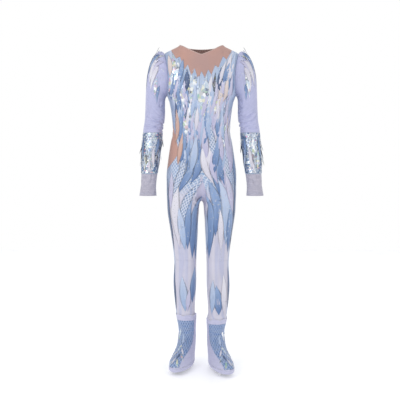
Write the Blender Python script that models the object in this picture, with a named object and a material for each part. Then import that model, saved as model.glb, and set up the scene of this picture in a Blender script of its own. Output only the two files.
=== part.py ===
"""Figure skating catsuit with matching boot covers, in its worn, hollow form.

Metres, +Z up. The front faces -Y and the wearer's right side is at -X. The origin lies between the
shoulders, on the shoulder line. Every cloth piece is a wall cut from one of three continuous surfaces:
body_point (torso and legs), arm_point (sleeve, band and cuff) and boot_point (boot cover).
"""
import math

import bmesh
import bpy
from mathutils import Matrix, Vector

# Driving dimensions
WALL = 0.0015
SEAM = 0.0003
ZIGZAG_SEAM = 0.0012
ARMHOLE_SEAM = 0.0004
NOTCH = 0.0004
PIECE_TURN = 0.13
SQUARE_TORSO = 2.4
SQUARE_LEG = 2.05
TORSO_ENDS = -0.50
LEG_STARTS = -0.75
SHOULDER_HALF_WIDTH = 0.168
SHOULDER_ROLL = 0.060
NECK_HALF_WIDTH = 0.0995
NECK_POINT = 0.015
NECK_FRONT = -0.034
NECK_BACK = 0.004
YOKE_HALF_WIDTH = 0.137
YOKE_END_DROP = 0.0035
BACK_YOKE_LOW = -0.105
UPPER_CHEST = -0.270
KNEE = -0.957
SHIN_HEM = -1.240
LEFT_FOOT_FORWARD = 0.030
LEFT_COLLAR_DROP = 0.014
TOE_OUT = math.radians(17.0)
BOOT_SETBACK = 0.010
SLEEVE_COLUMNS = 32
ARMHOLE_STEPS = SLEEVE_COLUMNS // 2
CUFF_COLUMNS = 16
SHIN_COLUMNS = 18
COLLAR_COLUMNS = 24
SCALLOPS = 6
PENDANT_THICK = 0.0014
TAB_RING = 11
TAB_TURN = 315
TAB_LENGTH = 0.016
TAB_WIDTH = 0.011


class Table:
    """A short table whose columns are read by name, smooth between its rows."""

    def __init__(self, columns, rows):
        self.columns = columns.split()
        self.rows = sorted(rows)
        self.keys = [row[0] for row in self.rows]

    def __call__(self, column, key):
        values = [row[self.columns.index(column)] for row in self.rows]
        keys = self.keys
        last = len(keys) - 1
        if key <= keys[0]:
            return values[0]
        if key >= keys[last]:
            return values[last]
        i = max(k for k in range(last) if keys[k] <= key)
        span = keys[i + 1] - keys[i]
        t = (key - keys[i]) / span

        def slope(j):
            low, high = max(j - 1, 0), min(j + 1, last)
            return span * (values[high] - values[low]) / (keys[high] - keys[low])

        return ((2 * t ** 3 - 3 * t ** 2 + 1) * values[i] + (t ** 3 - 2 * t ** 2 + t) * slope(i)
                + (3 * t ** 2 - 2 * t ** 3) * values[i + 1] + (t ** 3 - t ** 2) * slope(i + 1))


# Torso and leg sections: outer side, y of front and back, centre of the oval, y of the side seam
BODY = Table("z side front back hub seam", [
    (0.020, 0.168, -0.036, 0.050, 0.0, 0.004),
    (-0.034, 0.168, -0.060, 0.080, 0.0, 0.004),
    (-0.080, 0.166, -0.080, 0.096, 0.0, 0.004),
    (-0.140, 0.162, -0.104, 0.107, 0.0, 0.004),
    (-0.212, 0.1555, -0.112, 0.104, 0.0, 0.004),
    (-0.244, 0.1440, -0.107, 0.098, 0.0, 0.003),
    (-0.290, 0.1365, -0.098, 0.088, 0.0, 0.002),
    (-0.336, 0.1315, -0.090, 0.079, 0.0, 0.0),
    (-0.382, 0.1315, -0.085, 0.075, 0.0, 0.0),
    (-0.428, 0.1400, -0.086, 0.085, 0.0, 0.0),
    (-0.474, 0.1475, -0.090, 0.099, 0.0, 0.002),
    (-0.520, 0.1540, -0.093, 0.111, 0.002, 0.004),
    (-0.566, 0.1590, -0.093, 0.118, 0.014, 0.005),
    (-0.612, 0.1590, -0.090, 0.118, 0.042, 0.006),
    (-0.658, 0.1585, -0.087, 0.110, 0.066, 0.006),
    (-0.700, 0.1565, -0.085, 0.099, 0.079, 0.005),
    (-0.745, 0.1540, -0.082, 0.091, 0.083, 0.004),
    (-0.842, 0.1390, -0.070, 0.078, 0.0785, 0.0),
    (-0.957, 0.1250, -0.060, 0.054, 0.0740, -0.004),
    (-1.072, 0.1280, -0.051, 0.068, 0.0760, 0.002),
    (-1.187, 0.1195, -0.040, 0.058, 0.0750, 0.010),
    (-1.240, 0.1110, -0.032, 0.052, 0.0695, 0.012),
])

# Height of the shoulder line by the distance from the centre; inside the neck it only fades the roll
RIDGE = Table("x z", [
    (0.0, 0.250), (0.060, 0.090), (0.080, 0.045), (0.0995, 0.015), (0.131, -0.003), (0.150, -0.012),
    (0.168, -0.022),
])

# Heights shared by the gusset and the pieces beside it, and where those pieces end round the leg
GUSSET_ROWS = 5
GUSSET_TIP_SPREAD = 0.5
CROTCH_ROWS = [-0.572, -0.600, -0.640, -0.680, -0.715, -0.745]
GUSSET_EDGE = Table("z front back", [
    (-0.572, 93.8, 93.8), (-0.600, 100.0, 101.0), (-0.640, 110.0, 112.0), (-0.680, 125.0, 129.0),
    (-0.715, 147.0, 150.0), (-0.745, 180.0, 180.0),
])

# Middle line of the gusset, from its front tip under the crotch to its back tip
GUSSET_MIDDLE = Table("row y z", [
    (-5, -0.0925, -0.572), (-4, -0.0885, -0.599), (-3, -0.0740, -0.636), (-2, -0.0540, -0.665),
    (-1, -0.0270, -0.684), (0, 0.0050, -0.690), (1, 0.0360, -0.683), (2, 0.0690, -0.664),
    (3, 0.0970, -0.634), (4, 0.1130, -0.599), (5, 0.1175, -0.572),
])

# Front border of the side inset, as a share of the way from side seam to centre front
INSET_ROWS = [-0.300, -0.336, -0.382, -0.428, -0.474, -0.520, -0.556]
INSET = Table("z reach", [
    (-0.300, 0.030), (-0.336, 0.130), (-0.382, 0.290), (-0.428, 0.470), (-0.474, 0.530),
    (-0.520, 0.340), (-0.556, 0.030),
])

# Columns of the yoke edge by distance from the centre, and the height of its zigzag on each side
ZIGZAG_X = [0.137, 0.128, 0.119, 0.0995, 0.083, 0.066, 0.0495, 0.033, 0.0165, 0.0]
ZIGZAG = {
    -1: [-0.009, -0.029, -0.052, -0.044, -0.104, -0.080, -0.136, -0.098, -0.150, -0.112],
    1: [-0.009, -0.032, -0.058, -0.042, -0.096, -0.084, -0.128, -0.104, -0.142, -0.112],
}
BACK_X = [0.137, 0.119, 0.0995, 0.075, 0.050, 0.025, 0.0]

# Arm rings from armhole to hem: inner and outer end, half depth, y, forward scoop, height of the gathers
ARM = Table("ring inner_x inner_z outer_x outer_z depth y scoop gather", [
    (0, 0.1560, -0.2130, 0.1680, -0.0220, 0.0620, 0.004, 0.012, 0.0),
    (1, 0.1590, -0.2150, 0.1770, -0.0150, 0.0645, 0.004, 0.008, 0.0022),
    (2, 0.1610, -0.2180, 0.1930, -0.0165, 0.0645, 0.004, 0.004, 0.0026),
    (3, 0.1630, -0.2230, 0.2115, -0.0310, 0.0625, 0.004, 0.001, 0.0022),
    (4, 0.1645, -0.2300, 0.2275, -0.0570, 0.0600, 0.004, 0.0, 0.0015),
    (5, 0.1655, -0.2410, 0.2390, -0.0900, 0.0570, 0.004, 0.0, 0.0008),
    (6, 0.1655, -0.2570, 0.2470, -0.1300, 0.0545, 0.004, 0.0, 0.0),
    (7, 0.1655, -0.2850, 0.2520, -0.1900, 0.0515, 0.005, 0.0, 0.0),
    (8, 0.1670, -0.3150, 0.2548, -0.2600, 0.0495, 0.006, 0.0, 0.0),
    (9, 0.1715, -0.3480, 0.2580, -0.3200, 0.0480, 0.007, 0.0, 0.0),
    (10, 0.1755, -0.3660, 0.2640, -0.3560, 0.0475, 0.008, 0.0, 0.0),
    (11, 0.1775, -0.3790, 0.2665, -0.3790, 0.0460, 0.008, 0.0, 0.0),
    (12, 0.1815, -0.4280, 0.2690, -0.4280, 0.0445, 0.003, 0.0, 0.0),
    (13, 0.1895, -0.4740, 0.2720, -0.4740, 0.0425, -0.004, 0.0, 0.0),
    (14, 0.1930, -0.5200, 0.2730, -0.5200, 0.0405, -0.013, 0.0, 0.0),
    (15, 0.2000, -0.5660, 0.2725, -0.5660, 0.0365, -0.022, 0.0, 0.0),
    (16, 0.2050, -0.6120, 0.2740, -0.6120, 0.0340, -0.031, 0.0, 0.0),
    (17, 0.2050, -0.6400, 0.2770, -0.6400, 0.0350, -0.036, 0.0, 0.0),
    (18, 0.2030, -0.6620, 0.2805, -0.6620, 0.0375, -0.040, 0.0, 0.0),
])
BAND_FROM = 11.0
CUFF_FROM = 15.0

# Boot cover rings from rim to open sole: heel end and toe end along the foot, half width, centre, taper
BOOT = Table("ring heel heel_z toe toe_z half hub taper", [
    (0, -0.0530, -1.212, 0.0490, -1.206, 0.0475, 0.0715, 0.0),
    (1, -0.0500, -1.242, 0.0450, -1.238, 0.0450, 0.0695, 0.0),
    (2, -0.0470, -1.278, 0.0430, -1.270, 0.0405, 0.0670, 0.0),
    (3, -0.0460, -1.314, 0.0455, -1.298, 0.0395, 0.0655, 0.0),
    (4, -0.0480, -1.346, 0.0570, -1.322, 0.0395, 0.0650, 0.02),
    (5, -0.0510, -1.372, 0.0800, -1.344, 0.0400, 0.0650, 0.06),
    (6, -0.0535, -1.392, 0.1110, -1.366, 0.0410, 0.0650, 0.10),
    (7, -0.0550, -1.408, 0.1480, -1.380, 0.0430, 0.0650, 0.13),
    (8, -0.0555, -1.420, 0.1770, -1.395, 0.0455, 0.0650, 0.15),
    (9, -0.0550, -1.428, 0.1900, -1.414, 0.0465, 0.0650, 0.16),
    (10, -0.0520, -1.4335, 0.1920, -1.4315, 0.0460, 0.0650, 0.16),
    (11, -0.0460, -1.4350, 0.1850, -1.4350, 0.0400, 0.0650, 0.16),
    (12, -0.0350, -1.4352, 0.1720, -1.4352, 0.0290, 0.0650, 0.16),
])
COLLAR_TO = 1.0
SOLE_BAND_FROM = 9.0
BOOT_ROWS = [1, 2, 3, 4, 5, 6, 7, 8, 9]
BOOT_PANEL = Table("ring back front", [
    (1, 222.0, 288.0), (3, 218.0, 290.0), (5, 212.0, 304.0), (7, 207.0, 326.0), (9, 204.0, 338.0),
])

# Hard foil drops on the forearm bands: ring of the top, turn round the arm, length, width, tilt in degrees
PENDANTS = {
    -1: [(11.5, 180.0, 0.046, 0.010, 3), (12.0, 22.5, 0.052, 0.012, 6), (12.5, 202.5, 0.054, 0.011, 8),
         (13.0, 337.5, 0.058, 0.011, 5), (13.0, 67.5, 0.048, 0.010, 4)],
    1: [(11.8, 0.0, 0.048, 0.010, 5), (12.5, 337.5, 0.054, 0.011, 7), (13.0, 22.5, 0.060, 0.012, 6),
        (12.0, 180.0, 0.046, 0.010, 4), (13.0, 90.0, 0.052, 0.010, 4)],
}

# Stiff foil points on the sleeve caps: ring of the base, turn, length, width, lift in degrees
SHARDS = [(3, 22.5, 0.046, 0.009, 14), (3, 45.0, 0.050, 0.010, 10), (3, -22.5, 0.042, 0.009, 16)]
LEAF_SEAT = 0.00045

COLOURS = {
    "nude_mesh": ((0.47, 0.33, 0.28), 0.55),
    "ice_blue": ((0.42, 0.53, 0.70), 0.40),
    "lavender": ((0.49, 0.51, 0.68), 0.60),
    "blue_mesh": ((0.25, 0.36, 0.52), 0.35),
    "grey_lavender": ((0.48, 0.47, 0.57), 0.75),
    "foil": ((0.80, 0.84, 0.88), 0.15),
    "white_plastic": ((0.75, 0.75, 0.78), 0.40),
}


def blend(a, b, t):
    return a * (1 - t) + b * t


def ease(t):
    t = min(max(t, 0.0), 1.0)
    return t * t * (3 - 2 * t)


def lean(side, z):
    """The wearer's left foot stands a little further forward."""
    return -LEFT_FOOT_FORWARD * ease((-0.70 - z) / 0.45) if side > 0 else 0.0


def squareness(z):
    share = min(max((z - LEG_STARTS) / (TORSO_ENDS - LEG_STARTS), 0.0), 1.0)
    return blend(SQUARE_LEG, SQUARE_TORSO, share)


def oval(turn, square):
    """Cosine and sine of an angle in degrees, squared up as on a superellipse."""
    c, s = math.cos(math.radians(turn)), math.sin(math.radians(turn))
    return (math.copysign(abs(c) ** (2 / square), c), math.copysign(abs(s) ** (2 / square), s))


def armhole(z):
    """x and y of the armhole's middle line and its half depth at a height."""
    low, high = ARM("inner_z", 0), ARM("outer_z", 0)
    t = min(max((z - low) / (high - low), 0.0), 1.0)
    bulge = 2 * math.sqrt(t * (1 - t))
    x = blend(ARM("inner_x", 0), ARM("outer_x", 0), t) - ARM("scoop", 0) * bulge ** 2 - ARMHOLE_SEAM
    return x, ARM("y", 0), ARM("depth", 0) * bulge


def shoulder_roll(x, z):
    """How far the cloth still stands off the shoulder line: 1 well below it, 0 on it."""
    climb = min(max(1 + (z - RIDGE("z", abs(x))) / SHOULDER_ROLL, 0.0), 1.0)
    return math.sqrt(1 - climb ** 2)


def body_point(side, face, turn, z, hole=None):
    """Outer point of torso and leg. The turn runs from the side seam (0) over the middle of the front
    (face -1) or back (face 1) at 90 to the inside leg at 180."""
    c, s = oval(turn, squareness(z))
    hub = BODY("hub", z)
    outer, edge, roll = BODY("side", z), BODY("seam", z), 1.0
    if z > ARM("inner_z", 0):
        outer, edge, depth = hole or armhole(z)
        edge += face * (depth + SEAM / 2)
        roll = shoulder_roll(SHOULDER_HALF_WIDTH * c, z)
    middle = BODY("front" if face < 0 else "back", z)
    x = hub + (outer - hub) * c
    y = blend(edge, middle, s * roll) + lean(side, z)
    return Vector((side * x, y, z))


def body_sample(side, face, turn, z):
    """Outer point and outward normal of torso and leg."""
    hole = armhole(z) if z > ARM("inner_z", 0) else None
    round_it = (body_point(side, face, turn + 0.05, z, hole) - body_point(side, face, turn - 0.05, z, hole))
    up = body_point(side, face, turn, z + 1e-5, hole) - body_point(side, face, turn, z - 1e-5, hole)
    return body_point(side, face, turn, z), (side * face * round_it.cross(up)).normalized()


def arm_point(side, ring, turn):
    """Outer point of the arm: turn 0 is its outer side, 90 its front."""
    c, s = math.cos(math.radians(turn)), math.sin(math.radians(turn))
    inner = Vector((ARM("inner_x", ring), 0, ARM("inner_z", ring)))
    outer = Vector((ARM("outer_x", ring), 0, ARM("outer_z", ring)))
    across = (outer - inner) / 2
    window = ease((130 - abs((turn + 180) % 360 - 180)) / 60)
    ripple = ARM("gather", ring) * window * math.cos(math.radians(SLEEVE_COLUMNS / 2 * turn))
    reach = 1 + ripple / across.length
    point = (inner + outer) / 2 + across * c * reach
    point.x -= ARM("scoop", ring) * s * s
    point.y = ARM("y", ring) - ARM("depth", ring) * s * reach
    point.x *= side
    return point


def arm_sample(side, ring, turn):
    round_it = arm_point(side, ring, turn + 0.5) - arm_point(side, ring, turn - 0.5)
    down = arm_point(side, ring + 0.01, turn) - arm_point(side, ring - 0.01, turn)
    return arm_point(side, ring, turn), (side * round_it.cross(down)).normalized()


def boot_point(side, ring, turn):
    """Outer point of the boot cover: turn 0 is the toe, 90 the outer side, 180 the heel."""
    c, s = math.cos(math.radians(turn)), math.sin(math.radians(turn))
    middle = (BOOT("toe", ring) + BOOT("heel", ring)) / 2
    forward = middle + (BOOT("toe", ring) - middle) * c
    middle_z = (BOOT("toe_z", ring) + BOOT("heel_z", ring)) / 2
    z = middle_z + (BOOT("toe_z", ring) - middle_z) * c
    across = BOOT("half", ring) * (1 + BOOT("taper", ring) * c) * s
    x = BOOT("hub", ring) + across * math.cos(TOE_OUT) + forward * math.sin(TOE_OUT)
    y = BOOT_SETBACK - forward * math.cos(TOE_OUT) + across * math.sin(TOE_OUT)
    if side > 0:
        z -= LEFT_COLLAR_DROP * ease(1 - ring / 3)
    return Vector((side * x, y + lean(side, -1.2), z))


def boot_sample(side, ring, turn):
    round_it = boot_point(side, ring, turn + 0.5) - boot_point(side, ring, turn - 0.5)
    down = boot_point(side, ring + 0.01, turn) - boot_point(side, ring - 0.01, turn)
    return boot_point(side, ring, turn), (side * down.cross(round_it)).normalized()


def shin_sample(side, turn, z):
    """The shin follows the body surface and flares at its hem to lie inside the boot collar."""
    face, bend = (-1, turn) if turn <= 180 else (1, 360 - turn)
    point, normal = body_sample(side, face, bend, z)
    flare = ease((-1.200 - z) / 0.028)
    if flare > 0:
        turn_there = 90 + face * bend
        rim, away = boot_sample(side, collar_ring(side, turn_there, z), turn_there)
        inside = rim - away * (WALL + 0.0008)
        inside.z = z
        point = blend(point, inside, flare)
        normal = blend(normal, away, flare).normalized()
    return point, normal


def collar_ring(side, turn, z):
    """Ring of the boot cover that passes a height on one side of the leg, found by halving."""
    above, below = 0.0, 3.0
    for _ in range(20):
        middle = (above + below) / 2
        if boot_point(side, middle, turn).z > z:
            above = middle
        else:
            below = middle
    return above


def wall(name, rows, material, closed=False):
    """A cloth piece: rows of (outer point, normal) with an inner face WALL inside it and rims."""
    mesh = bmesh.new()
    outer = [[mesh.verts.new(point) for point, normal in row] for row in rows]
    inner = [[mesh.verts.new(point - normal * WALL) for point, normal in row] for row in rows]
    columns = len(rows[0])
    steps = columns if closed else columns - 1
    last = len(rows) - 1

    def quad(a, b, c, d):
        mesh.faces.new((a, b, c, d))

    for j in range(steps):
        k = (j + 1) % columns
        for i in range(last):
            quad(outer[i][j], outer[i][k], outer[i + 1][k], outer[i + 1][j])
            quad(inner[i][j], inner[i + 1][j], inner[i + 1][k], inner[i][k])
        quad(outer[0][k], outer[0][j], inner[0][j], inner[0][k])
        quad(outer[last][j], outer[last][k], inner[last][k], inner[last][j])
    if not closed:
        for i in range(last):
            quad(outer[i][0], outer[i + 1][0], inner[i + 1][0], inner[i][0])
            quad(outer[i + 1][-1], outer[i][-1], inner[i][-1], inner[i + 1][-1])
    bmesh.ops.recalc_face_normals(mesh, faces=mesh.faces)
    if mesh.calc_volume(signed=True) < 0:
        bmesh.ops.reverse_faces(mesh, faces=mesh.faces)
    data = bpy.data.meshes.new(name)
    mesh.to_mesh(data)
    mesh.free()
    data.shade_smooth()
    data.set_sharp_from_angle(angle=math.radians(55))
    return place(bpy.data.objects.new(name, data), material)


def place(thing, material):
    thing.data.materials.append(material)
    COSTUME.objects.link(thing)
    return thing


def material_for(slot):
    if slot not in bpy.data.materials:
        colour, roughness = COLOURS[slot]
        made = bpy.data.materials.new(slot)
        made.use_nodes = True
        shader = made.node_tree.nodes["Principled BSDF"]
        shader.inputs["Base Color"].default_value = (*colour, 1.0)
        shader.inputs["Roughness"].default_value = roughness
    return bpy.data.materials[slot]


def word(side):
    return "right" if side < 0 else "left"


def turn_at_x(x, z):
    """Turn at which the body surface crosses a distance from the centre plane."""
    hub, square = BODY("hub", z), squareness(z)
    outer = SHOULDER_HALF_WIDTH if z > UPPER_CHEST else BODY("side", z)
    share = (x - hub) / (outer - hub)
    return math.degrees(math.acos(math.copysign(abs(share) ** (square / 2), share)))


def seam_turn(face, z):
    """Turn that leaves half a seam's gap at the side or inside leg."""
    depth = abs(BODY("front" if face < 0 else "back", z))
    return math.degrees(math.asin((SEAM / 2 / depth) ** (squareness(z) / 2)))


def piece_start(side, face, z):
    """Turn at the outer edge of a front or back piece."""
    if z > ARM("inner_z", 0):
        return 0.0
    if side < 0 and face < 0 and INSET_ROWS[-1] - NOTCH <= z <= INSET_ROWS[0] + NOTCH:
        return 90 * INSET("reach", z) + PIECE_TURN
    return seam_turn(face, z)


def piece_end(face, z):
    """Turn at the centre seam, gusset or inside leg."""
    if z > CROTCH_ROWS[0] + NOTCH:
        return turn_at_x(SEAM / 2, z)
    if z > CROTCH_ROWS[-1]:
        return GUSSET_EDGE("front" if face < 0 else "back", z) - PIECE_TURN
    return 180 - seam_turn(face, z)


def neckline(face, x):
    share = abs(x) / NECK_HALF_WIDTH
    if face < 0:
        return NECK_FRONT + (NECK_POINT - NECK_FRONT) * share ** 1.25
    return NECK_BACK + (NECK_POINT - NECK_BACK) * share ** 2


def yoke_top(face, x):
    return neckline(face, x) if x < NECK_HALF_WIDTH else RIDGE("z", x)


def yoke_low(side, face, x):
    if face < 0:
        return ZIGZAG[side][ZIGZAG_X.index(x)]
    return blend(BACK_YOKE_LOW, RIDGE("z", YOKE_HALF_WIDTH) - YOKE_END_DROP, (x / YOKE_HALF_WIDTH) ** 3)


def armhole_climb(angle):
    """Share of the way up the upper chest at an angle round the armhole, from underarm to shoulder."""
    low, high = ARM("inner_z", 0) + 1e-4, ARM("outer_z", 0)
    z = blend(low, high, (1 - math.cos(math.radians(angle))) / 2)
    return (z - UPPER_CHEST) / (high - UPPER_CHEST)


def body_pieces():
    """Front and back, right and left: each one length from shoulder and yoke to the knee."""
    upper = [0.0] + [armhole_climb(180 * step / ARMHOLE_STEPS) for step in range(ARMHOLE_STEPS + 1)]
    for side in (-1, 1):
        for face, columns in ((-1, ZIGZAG_X), (1, BACK_X)):
            outside = [0.0, 0.12, 0.25] if face < 0 else [0.0, 0.20]
            turns = [90 * share for share in outside]
            tops = [RIDGE("z", SHOULDER_HALF_WIDTH * oval(turn, SQUARE_TORSO)[0]) for turn in turns]
            turns.append(turn_at_x(YOKE_HALF_WIDTH + 0.0014, 0))
            tops.append(RIDGE("z", YOKE_HALF_WIDTH + 0.0014))
            for x in columns:
                turns.append(turn_at_x(max(x, SEAM / 2), 0))
                tops.append(yoke_low(side, face, x) - ZIGZAG_SEAM)
            levels = [-0.336, -0.382, -0.428, -0.474, -0.520, CROTCH_ROWS[0] + 2 * NOTCH,
                      CROTCH_ROWS[0] + NOTCH, *CROTCH_ROWS[1:], -0.80, -0.87, KNEE + SEAM / 2]
            if side < 0 and face < 0:
                levels += [INSET_ROWS[0] + 2 * NOTCH, INSET_ROWS[0] + NOTCH,
                           INSET_ROWS[-1] - NOTCH, INSET_ROWS[-1] - 2 * NOTCH]
            rows = []
            for z in sorted(levels):
                start, end = piece_start(side, face, z), piece_end(face, z)
                even = ease((UPPER_CHEST - z) / (UPPER_CHEST - CROTCH_ROWS[0]))
                shares = [blend(turn / turns[-1], j / (len(turns) - 1), even)
                          for j, turn in enumerate(turns)]
                rows.append([body_sample(side, face, blend(start, end, share), z) for share in shares])
            for share in upper:
                row = []
                for turn, top in zip(turns, tops):
                    z = blend(UPPER_CHEST, top, share)
                    start = piece_start(side, face, z) if turn == 0 else 0.0
                    row.append(body_sample(side, face, max(turn, start), z))
                rows.append(row)
            name = ("front_" if face < 0 else "back_") + word(side)
            wall(name, rows, material_for("ice_blue"))


def yokes():
    """Nude mesh yokes: the front with a zigzag lower edge, the back with a plain curve."""
    climbs = [0.0, 0.35, 0.62, 0.82, 0.94, 1.0]
    for face, columns in ((-1, ZIGZAG_X), (1, BACK_X)):
        places = [(-1, x) for x in columns] + [(1, x) for x in reversed(columns[:-1])]
        rows = []
        for share in climbs:
            rows.append([body_sample(side, face, turn_at_x(x, 0),
                                     blend(yoke_low(side, face, x), yoke_top(face, x), share))
                         for side, x in places])
        wall("yoke_front" if face < 0 else "yoke_back", rows, material_for("nude_mesh"))


def side_inset():
    """Nude mesh lens in the wearer's right side, from the side seam forward."""
    rows = []
    for z in INSET_ROWS:
        start, end = seam_turn(-1, z), 90 * INSET("reach", z) - PIECE_TURN
        rows.append([body_sample(-1, -1, blend(start, end, j / 4), z) for j in range(5)])
    wall("side_inset", rows, material_for("nude_mesh"))


def gusset_row(row):
    """Points across the gusset from the wearer's right edge over the middle line to the left edge."""
    face = -1 if row <= 0 else 1
    z = CROTCH_ROWS[5 - abs(row)]
    turn = GUSSET_EDGE("front" if face < 0 else "back", z) + PIECE_TURN
    if row == 0:
        z += 2 * NOTCH
        turn = 180
    middle = Vector((0, GUSSET_MIDDLE("y", row), GUSSET_MIDDLE("z", row)))
    points = []
    for step in range(-3, 4):
        side = -1 if step < 0 else 1
        edge = body_point(side, face, turn, z)
        edge.y -= lean(side, z)
        spread = blend(1.0, GUSSET_TIP_SPREAD, abs(row) / GUSSET_ROWS)
        corner = Vector((edge.x * spread, middle.y, middle.z))
        t = abs(step) / 3
        points.append(middle * (1 - t) ** 2 + corner * 2 * t * (1 - t) + edge * t ** 2)
    return points


def gusset():
    """Lavender strip from the centre front under the crotch to the centre back."""
    grid = [gusset_row(row) for row in range(-5, 6)]
    rows = []
    for i, points in enumerate(grid):
        face = -1 if i <= 5 else 1
        z = CROTCH_ROWS[5 - abs(i - 5)]
        turn = GUSSET_EDGE("front" if face < 0 else "back", z)
        row = []
        for j, point in enumerate(points):
            across = points[min(j + 1, 6)] - points[max(j - 1, 0)]
            along = grid[min(i + 1, 10)][j] - grid[max(i - 1, 0)][j]
            normal = along.cross(across).normalized()
            if j in (0, 6):
                normal = body_sample(-1 if j == 0 else 1, face, turn, z)[1]
            row.append((point, normal))
        rows.append(row)
    wall("gusset", rows, material_for("lavender"))


def shins():
    levels = [KNEE - SEAM / 2, -1.015, -1.072, -1.130, -1.187, -1.208, -1.228, SHIN_HEM]
    for side in (-1, 1):
        rows = [[shin_sample(side, 360 * j / SHIN_COLUMNS, z) for j in range(SHIN_COLUMNS)]
                for z in levels]
        wall("shin_" + word(side), rows, material_for("ice_blue"), closed=True)


def arms():
    parts = [
        ("sleeve_", [0, 1, 2, 3, 4, 5, 6, 7, 8, 9, 10, BAND_FROM - 0.006], SLEEVE_COLUMNS, "lavender"),
        ("band_", [BAND_FROM, 12, 13, 14, CUFF_FROM - 0.006], CUFF_COLUMNS, "blue_mesh"),
        ("cuff_", [CUFF_FROM, 16, 17, 18], CUFF_COLUMNS, "grey_lavender"),
    ]
    for side in (-1, 1):
        for name, rings, columns, slot in parts:
            rows = [[arm_sample(side, ring, 360 * j / columns) for j in range(columns)]
                    for ring in rings]
            wall(name + word(side), rows, material_for(slot), closed=True)


def collar_rim(turn):
    """Ring of the collar's scalloped top edge, with a point at each side of the leg."""
    lobe = abs(math.cos(math.radians(SCALLOPS / 2 * (turn - 90))))
    point = 0.12 if abs(math.cos(math.radians(turn))) < 0.01 else 0.0
    return 0.12 - point + 0.24 * (1 - lobe)


def boots():
    gap = 0.005
    for side in (-1, 1):
        turns = [360 * j / COLLAR_COLUMNS for j in range(COLLAR_COLUMNS)]
        rows = [[boot_sample(side, blend(collar_rim(turn), COLLAR_TO - gap, share), turn)
                 for turn in turns] for share in (0, 0.5, 1)]
        wall("boot_collar_" + word(side), rows, material_for("lavender"), closed=True)
        rows = [[boot_sample(side, ring, turn) for turn in turns]
                for ring in (SOLE_BAND_FROM + 0.03, 10, 11, 12)]
        wall("boot_band_" + word(side), rows, material_for("lavender"), closed=True)
        upper, panel = [], []
        for ring in BOOT_ROWS:
            level = min(max(ring, COLLAR_TO + gap), SOLE_BAND_FROM - 0.03)
            back, front = BOOT_PANEL("back", ring), BOOT_PANEL("front", ring)
            upper.append([boot_sample(side, level, blend(front - 360 + 0.25, back - 0.25, j / 16))
                          for j in range(17)])
            panel.append([boot_sample(side, level, blend(back + 0.25, front - 0.25, j / 6))
                          for j in range(7)])
        wall("boot_upper_" + word(side), upper, material_for("blue_mesh"))
        wall("boot_panel_" + word(side), panel, material_for("lavender"))


def leaf(name, length, width, thick, point, along, away, slot):
    """A flat leaf hanging from its broad end: along is its length, away its outward face."""
    shares = [(0.0, 0.18), (0.12, 0.42), (0.38, 0.5), (0.75, 0.26), (1.0, 0.0)]
    outline = [(w * width, s * length) for s, w in shares]
    outline += [(-w * width, s * length) for s, w in reversed(shares[:-1])]
    curve = bpy.data.curves.new(name, "CURVE")
    curve.dimensions = "2D"
    curve.fill_mode = "BOTH"
    curve.extrude = thick / 2
    spline = curve.splines.new("POLY")
    spline.points.add(len(outline) - 1)
    for target, (x, y) in zip(spline.points, outline):
        target.co = (x, y, 0, 1)
    spline.use_cyclic_u = True
    along = along.normalized()
    across = along.cross(away).normalized()
    away = across.cross(along)
    thing = bpy.data.objects.new(name, curve)
    thing.matrix_world = Matrix.Translation(point) @ Matrix((across, along, away)).transposed().to_4x4()
    return place(thing, material_for(slot))


def pendants():
    """Leaf-shaped foil drops hung from the forearm bands."""
    for side in (-1, 1):
        for count, (ring, turn, length, width, tilt) in enumerate(PENDANTS[side]):
            point, normal = arm_sample(side, ring, turn)
            down = arm_sample(side, ring + 0.3, turn)[0] - point
            down = Matrix.Rotation(math.radians(tilt), 3, normal.cross(down).normalized()).inverted() @ down
            lift = normal * (PENDANT_THICK / 2 + LEAF_SEAT)
            leaf(f"pendant_{word(side)}_{count}", length, width, PENDANT_THICK, point + lift, down,
                 normal, "foil")


def shards():
    """Stiff foil points that rise off the sleeve caps toward the neck."""
    for side in (-1, 1):
        for count, (ring, turn, length, width, lift) in enumerate(SHARDS):
            point, normal = arm_sample(side, ring, turn)
            up = arm_sample(side, ring - 0.3, turn)[0] - point
            up = Matrix.Rotation(math.radians(lift), 3, normal.cross(up).normalized()).inverted() @ up
            rise = normal * (PENDANT_THICK / 2 + LEAF_SEAT)
            leaf(f"shard_{word(side)}_{count}", length, width, PENDANT_THICK, point + rise, up,
                 normal, "foil")


def hook_tab():
    """Small stiff tab that hangs from the sole edge of the wearer's left cover, near the ball."""
    point, normal = boot_sample(1, TAB_RING, TAB_TURN)
    leaf("hook_tab", TAB_LENGTH, TAB_WIDTH, PENDANT_THICK, point + normal * LEAF_SEAT,
         Vector((-0.35, -0.10, -1.0)), Vector((0.2, -1.0, 0.0)), "white_plastic")


for old in list(bpy.data.objects):
    bpy.data.objects.remove(old, do_unlink=True)
COSTUME = bpy.data.collections.new("skating_costume")
bpy.context.scene.collection.children.link(COSTUME)

yokes()
body_pieces()
side_inset()
gusset()
shins()
arms()
boots()
pendants()
shards()
hook_tab()
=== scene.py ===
# %% [markdown]
# # An icy skating catsuit with boot covers
#
# A skater's catsuit is sewn from four-way stretch cloth, so it lies close everywhere and has few folds.
# Its show comes from what is laid on top: leaf-shaped foil, ombre cloth, nets and glass stones.
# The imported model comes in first. It is the fixed frame that every cloth piece below is made to fit.
# Sizes are in metres, z is up, the front faces -y and the wearer's right side is at -x.

# %% The fixed frame
import math

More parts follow.
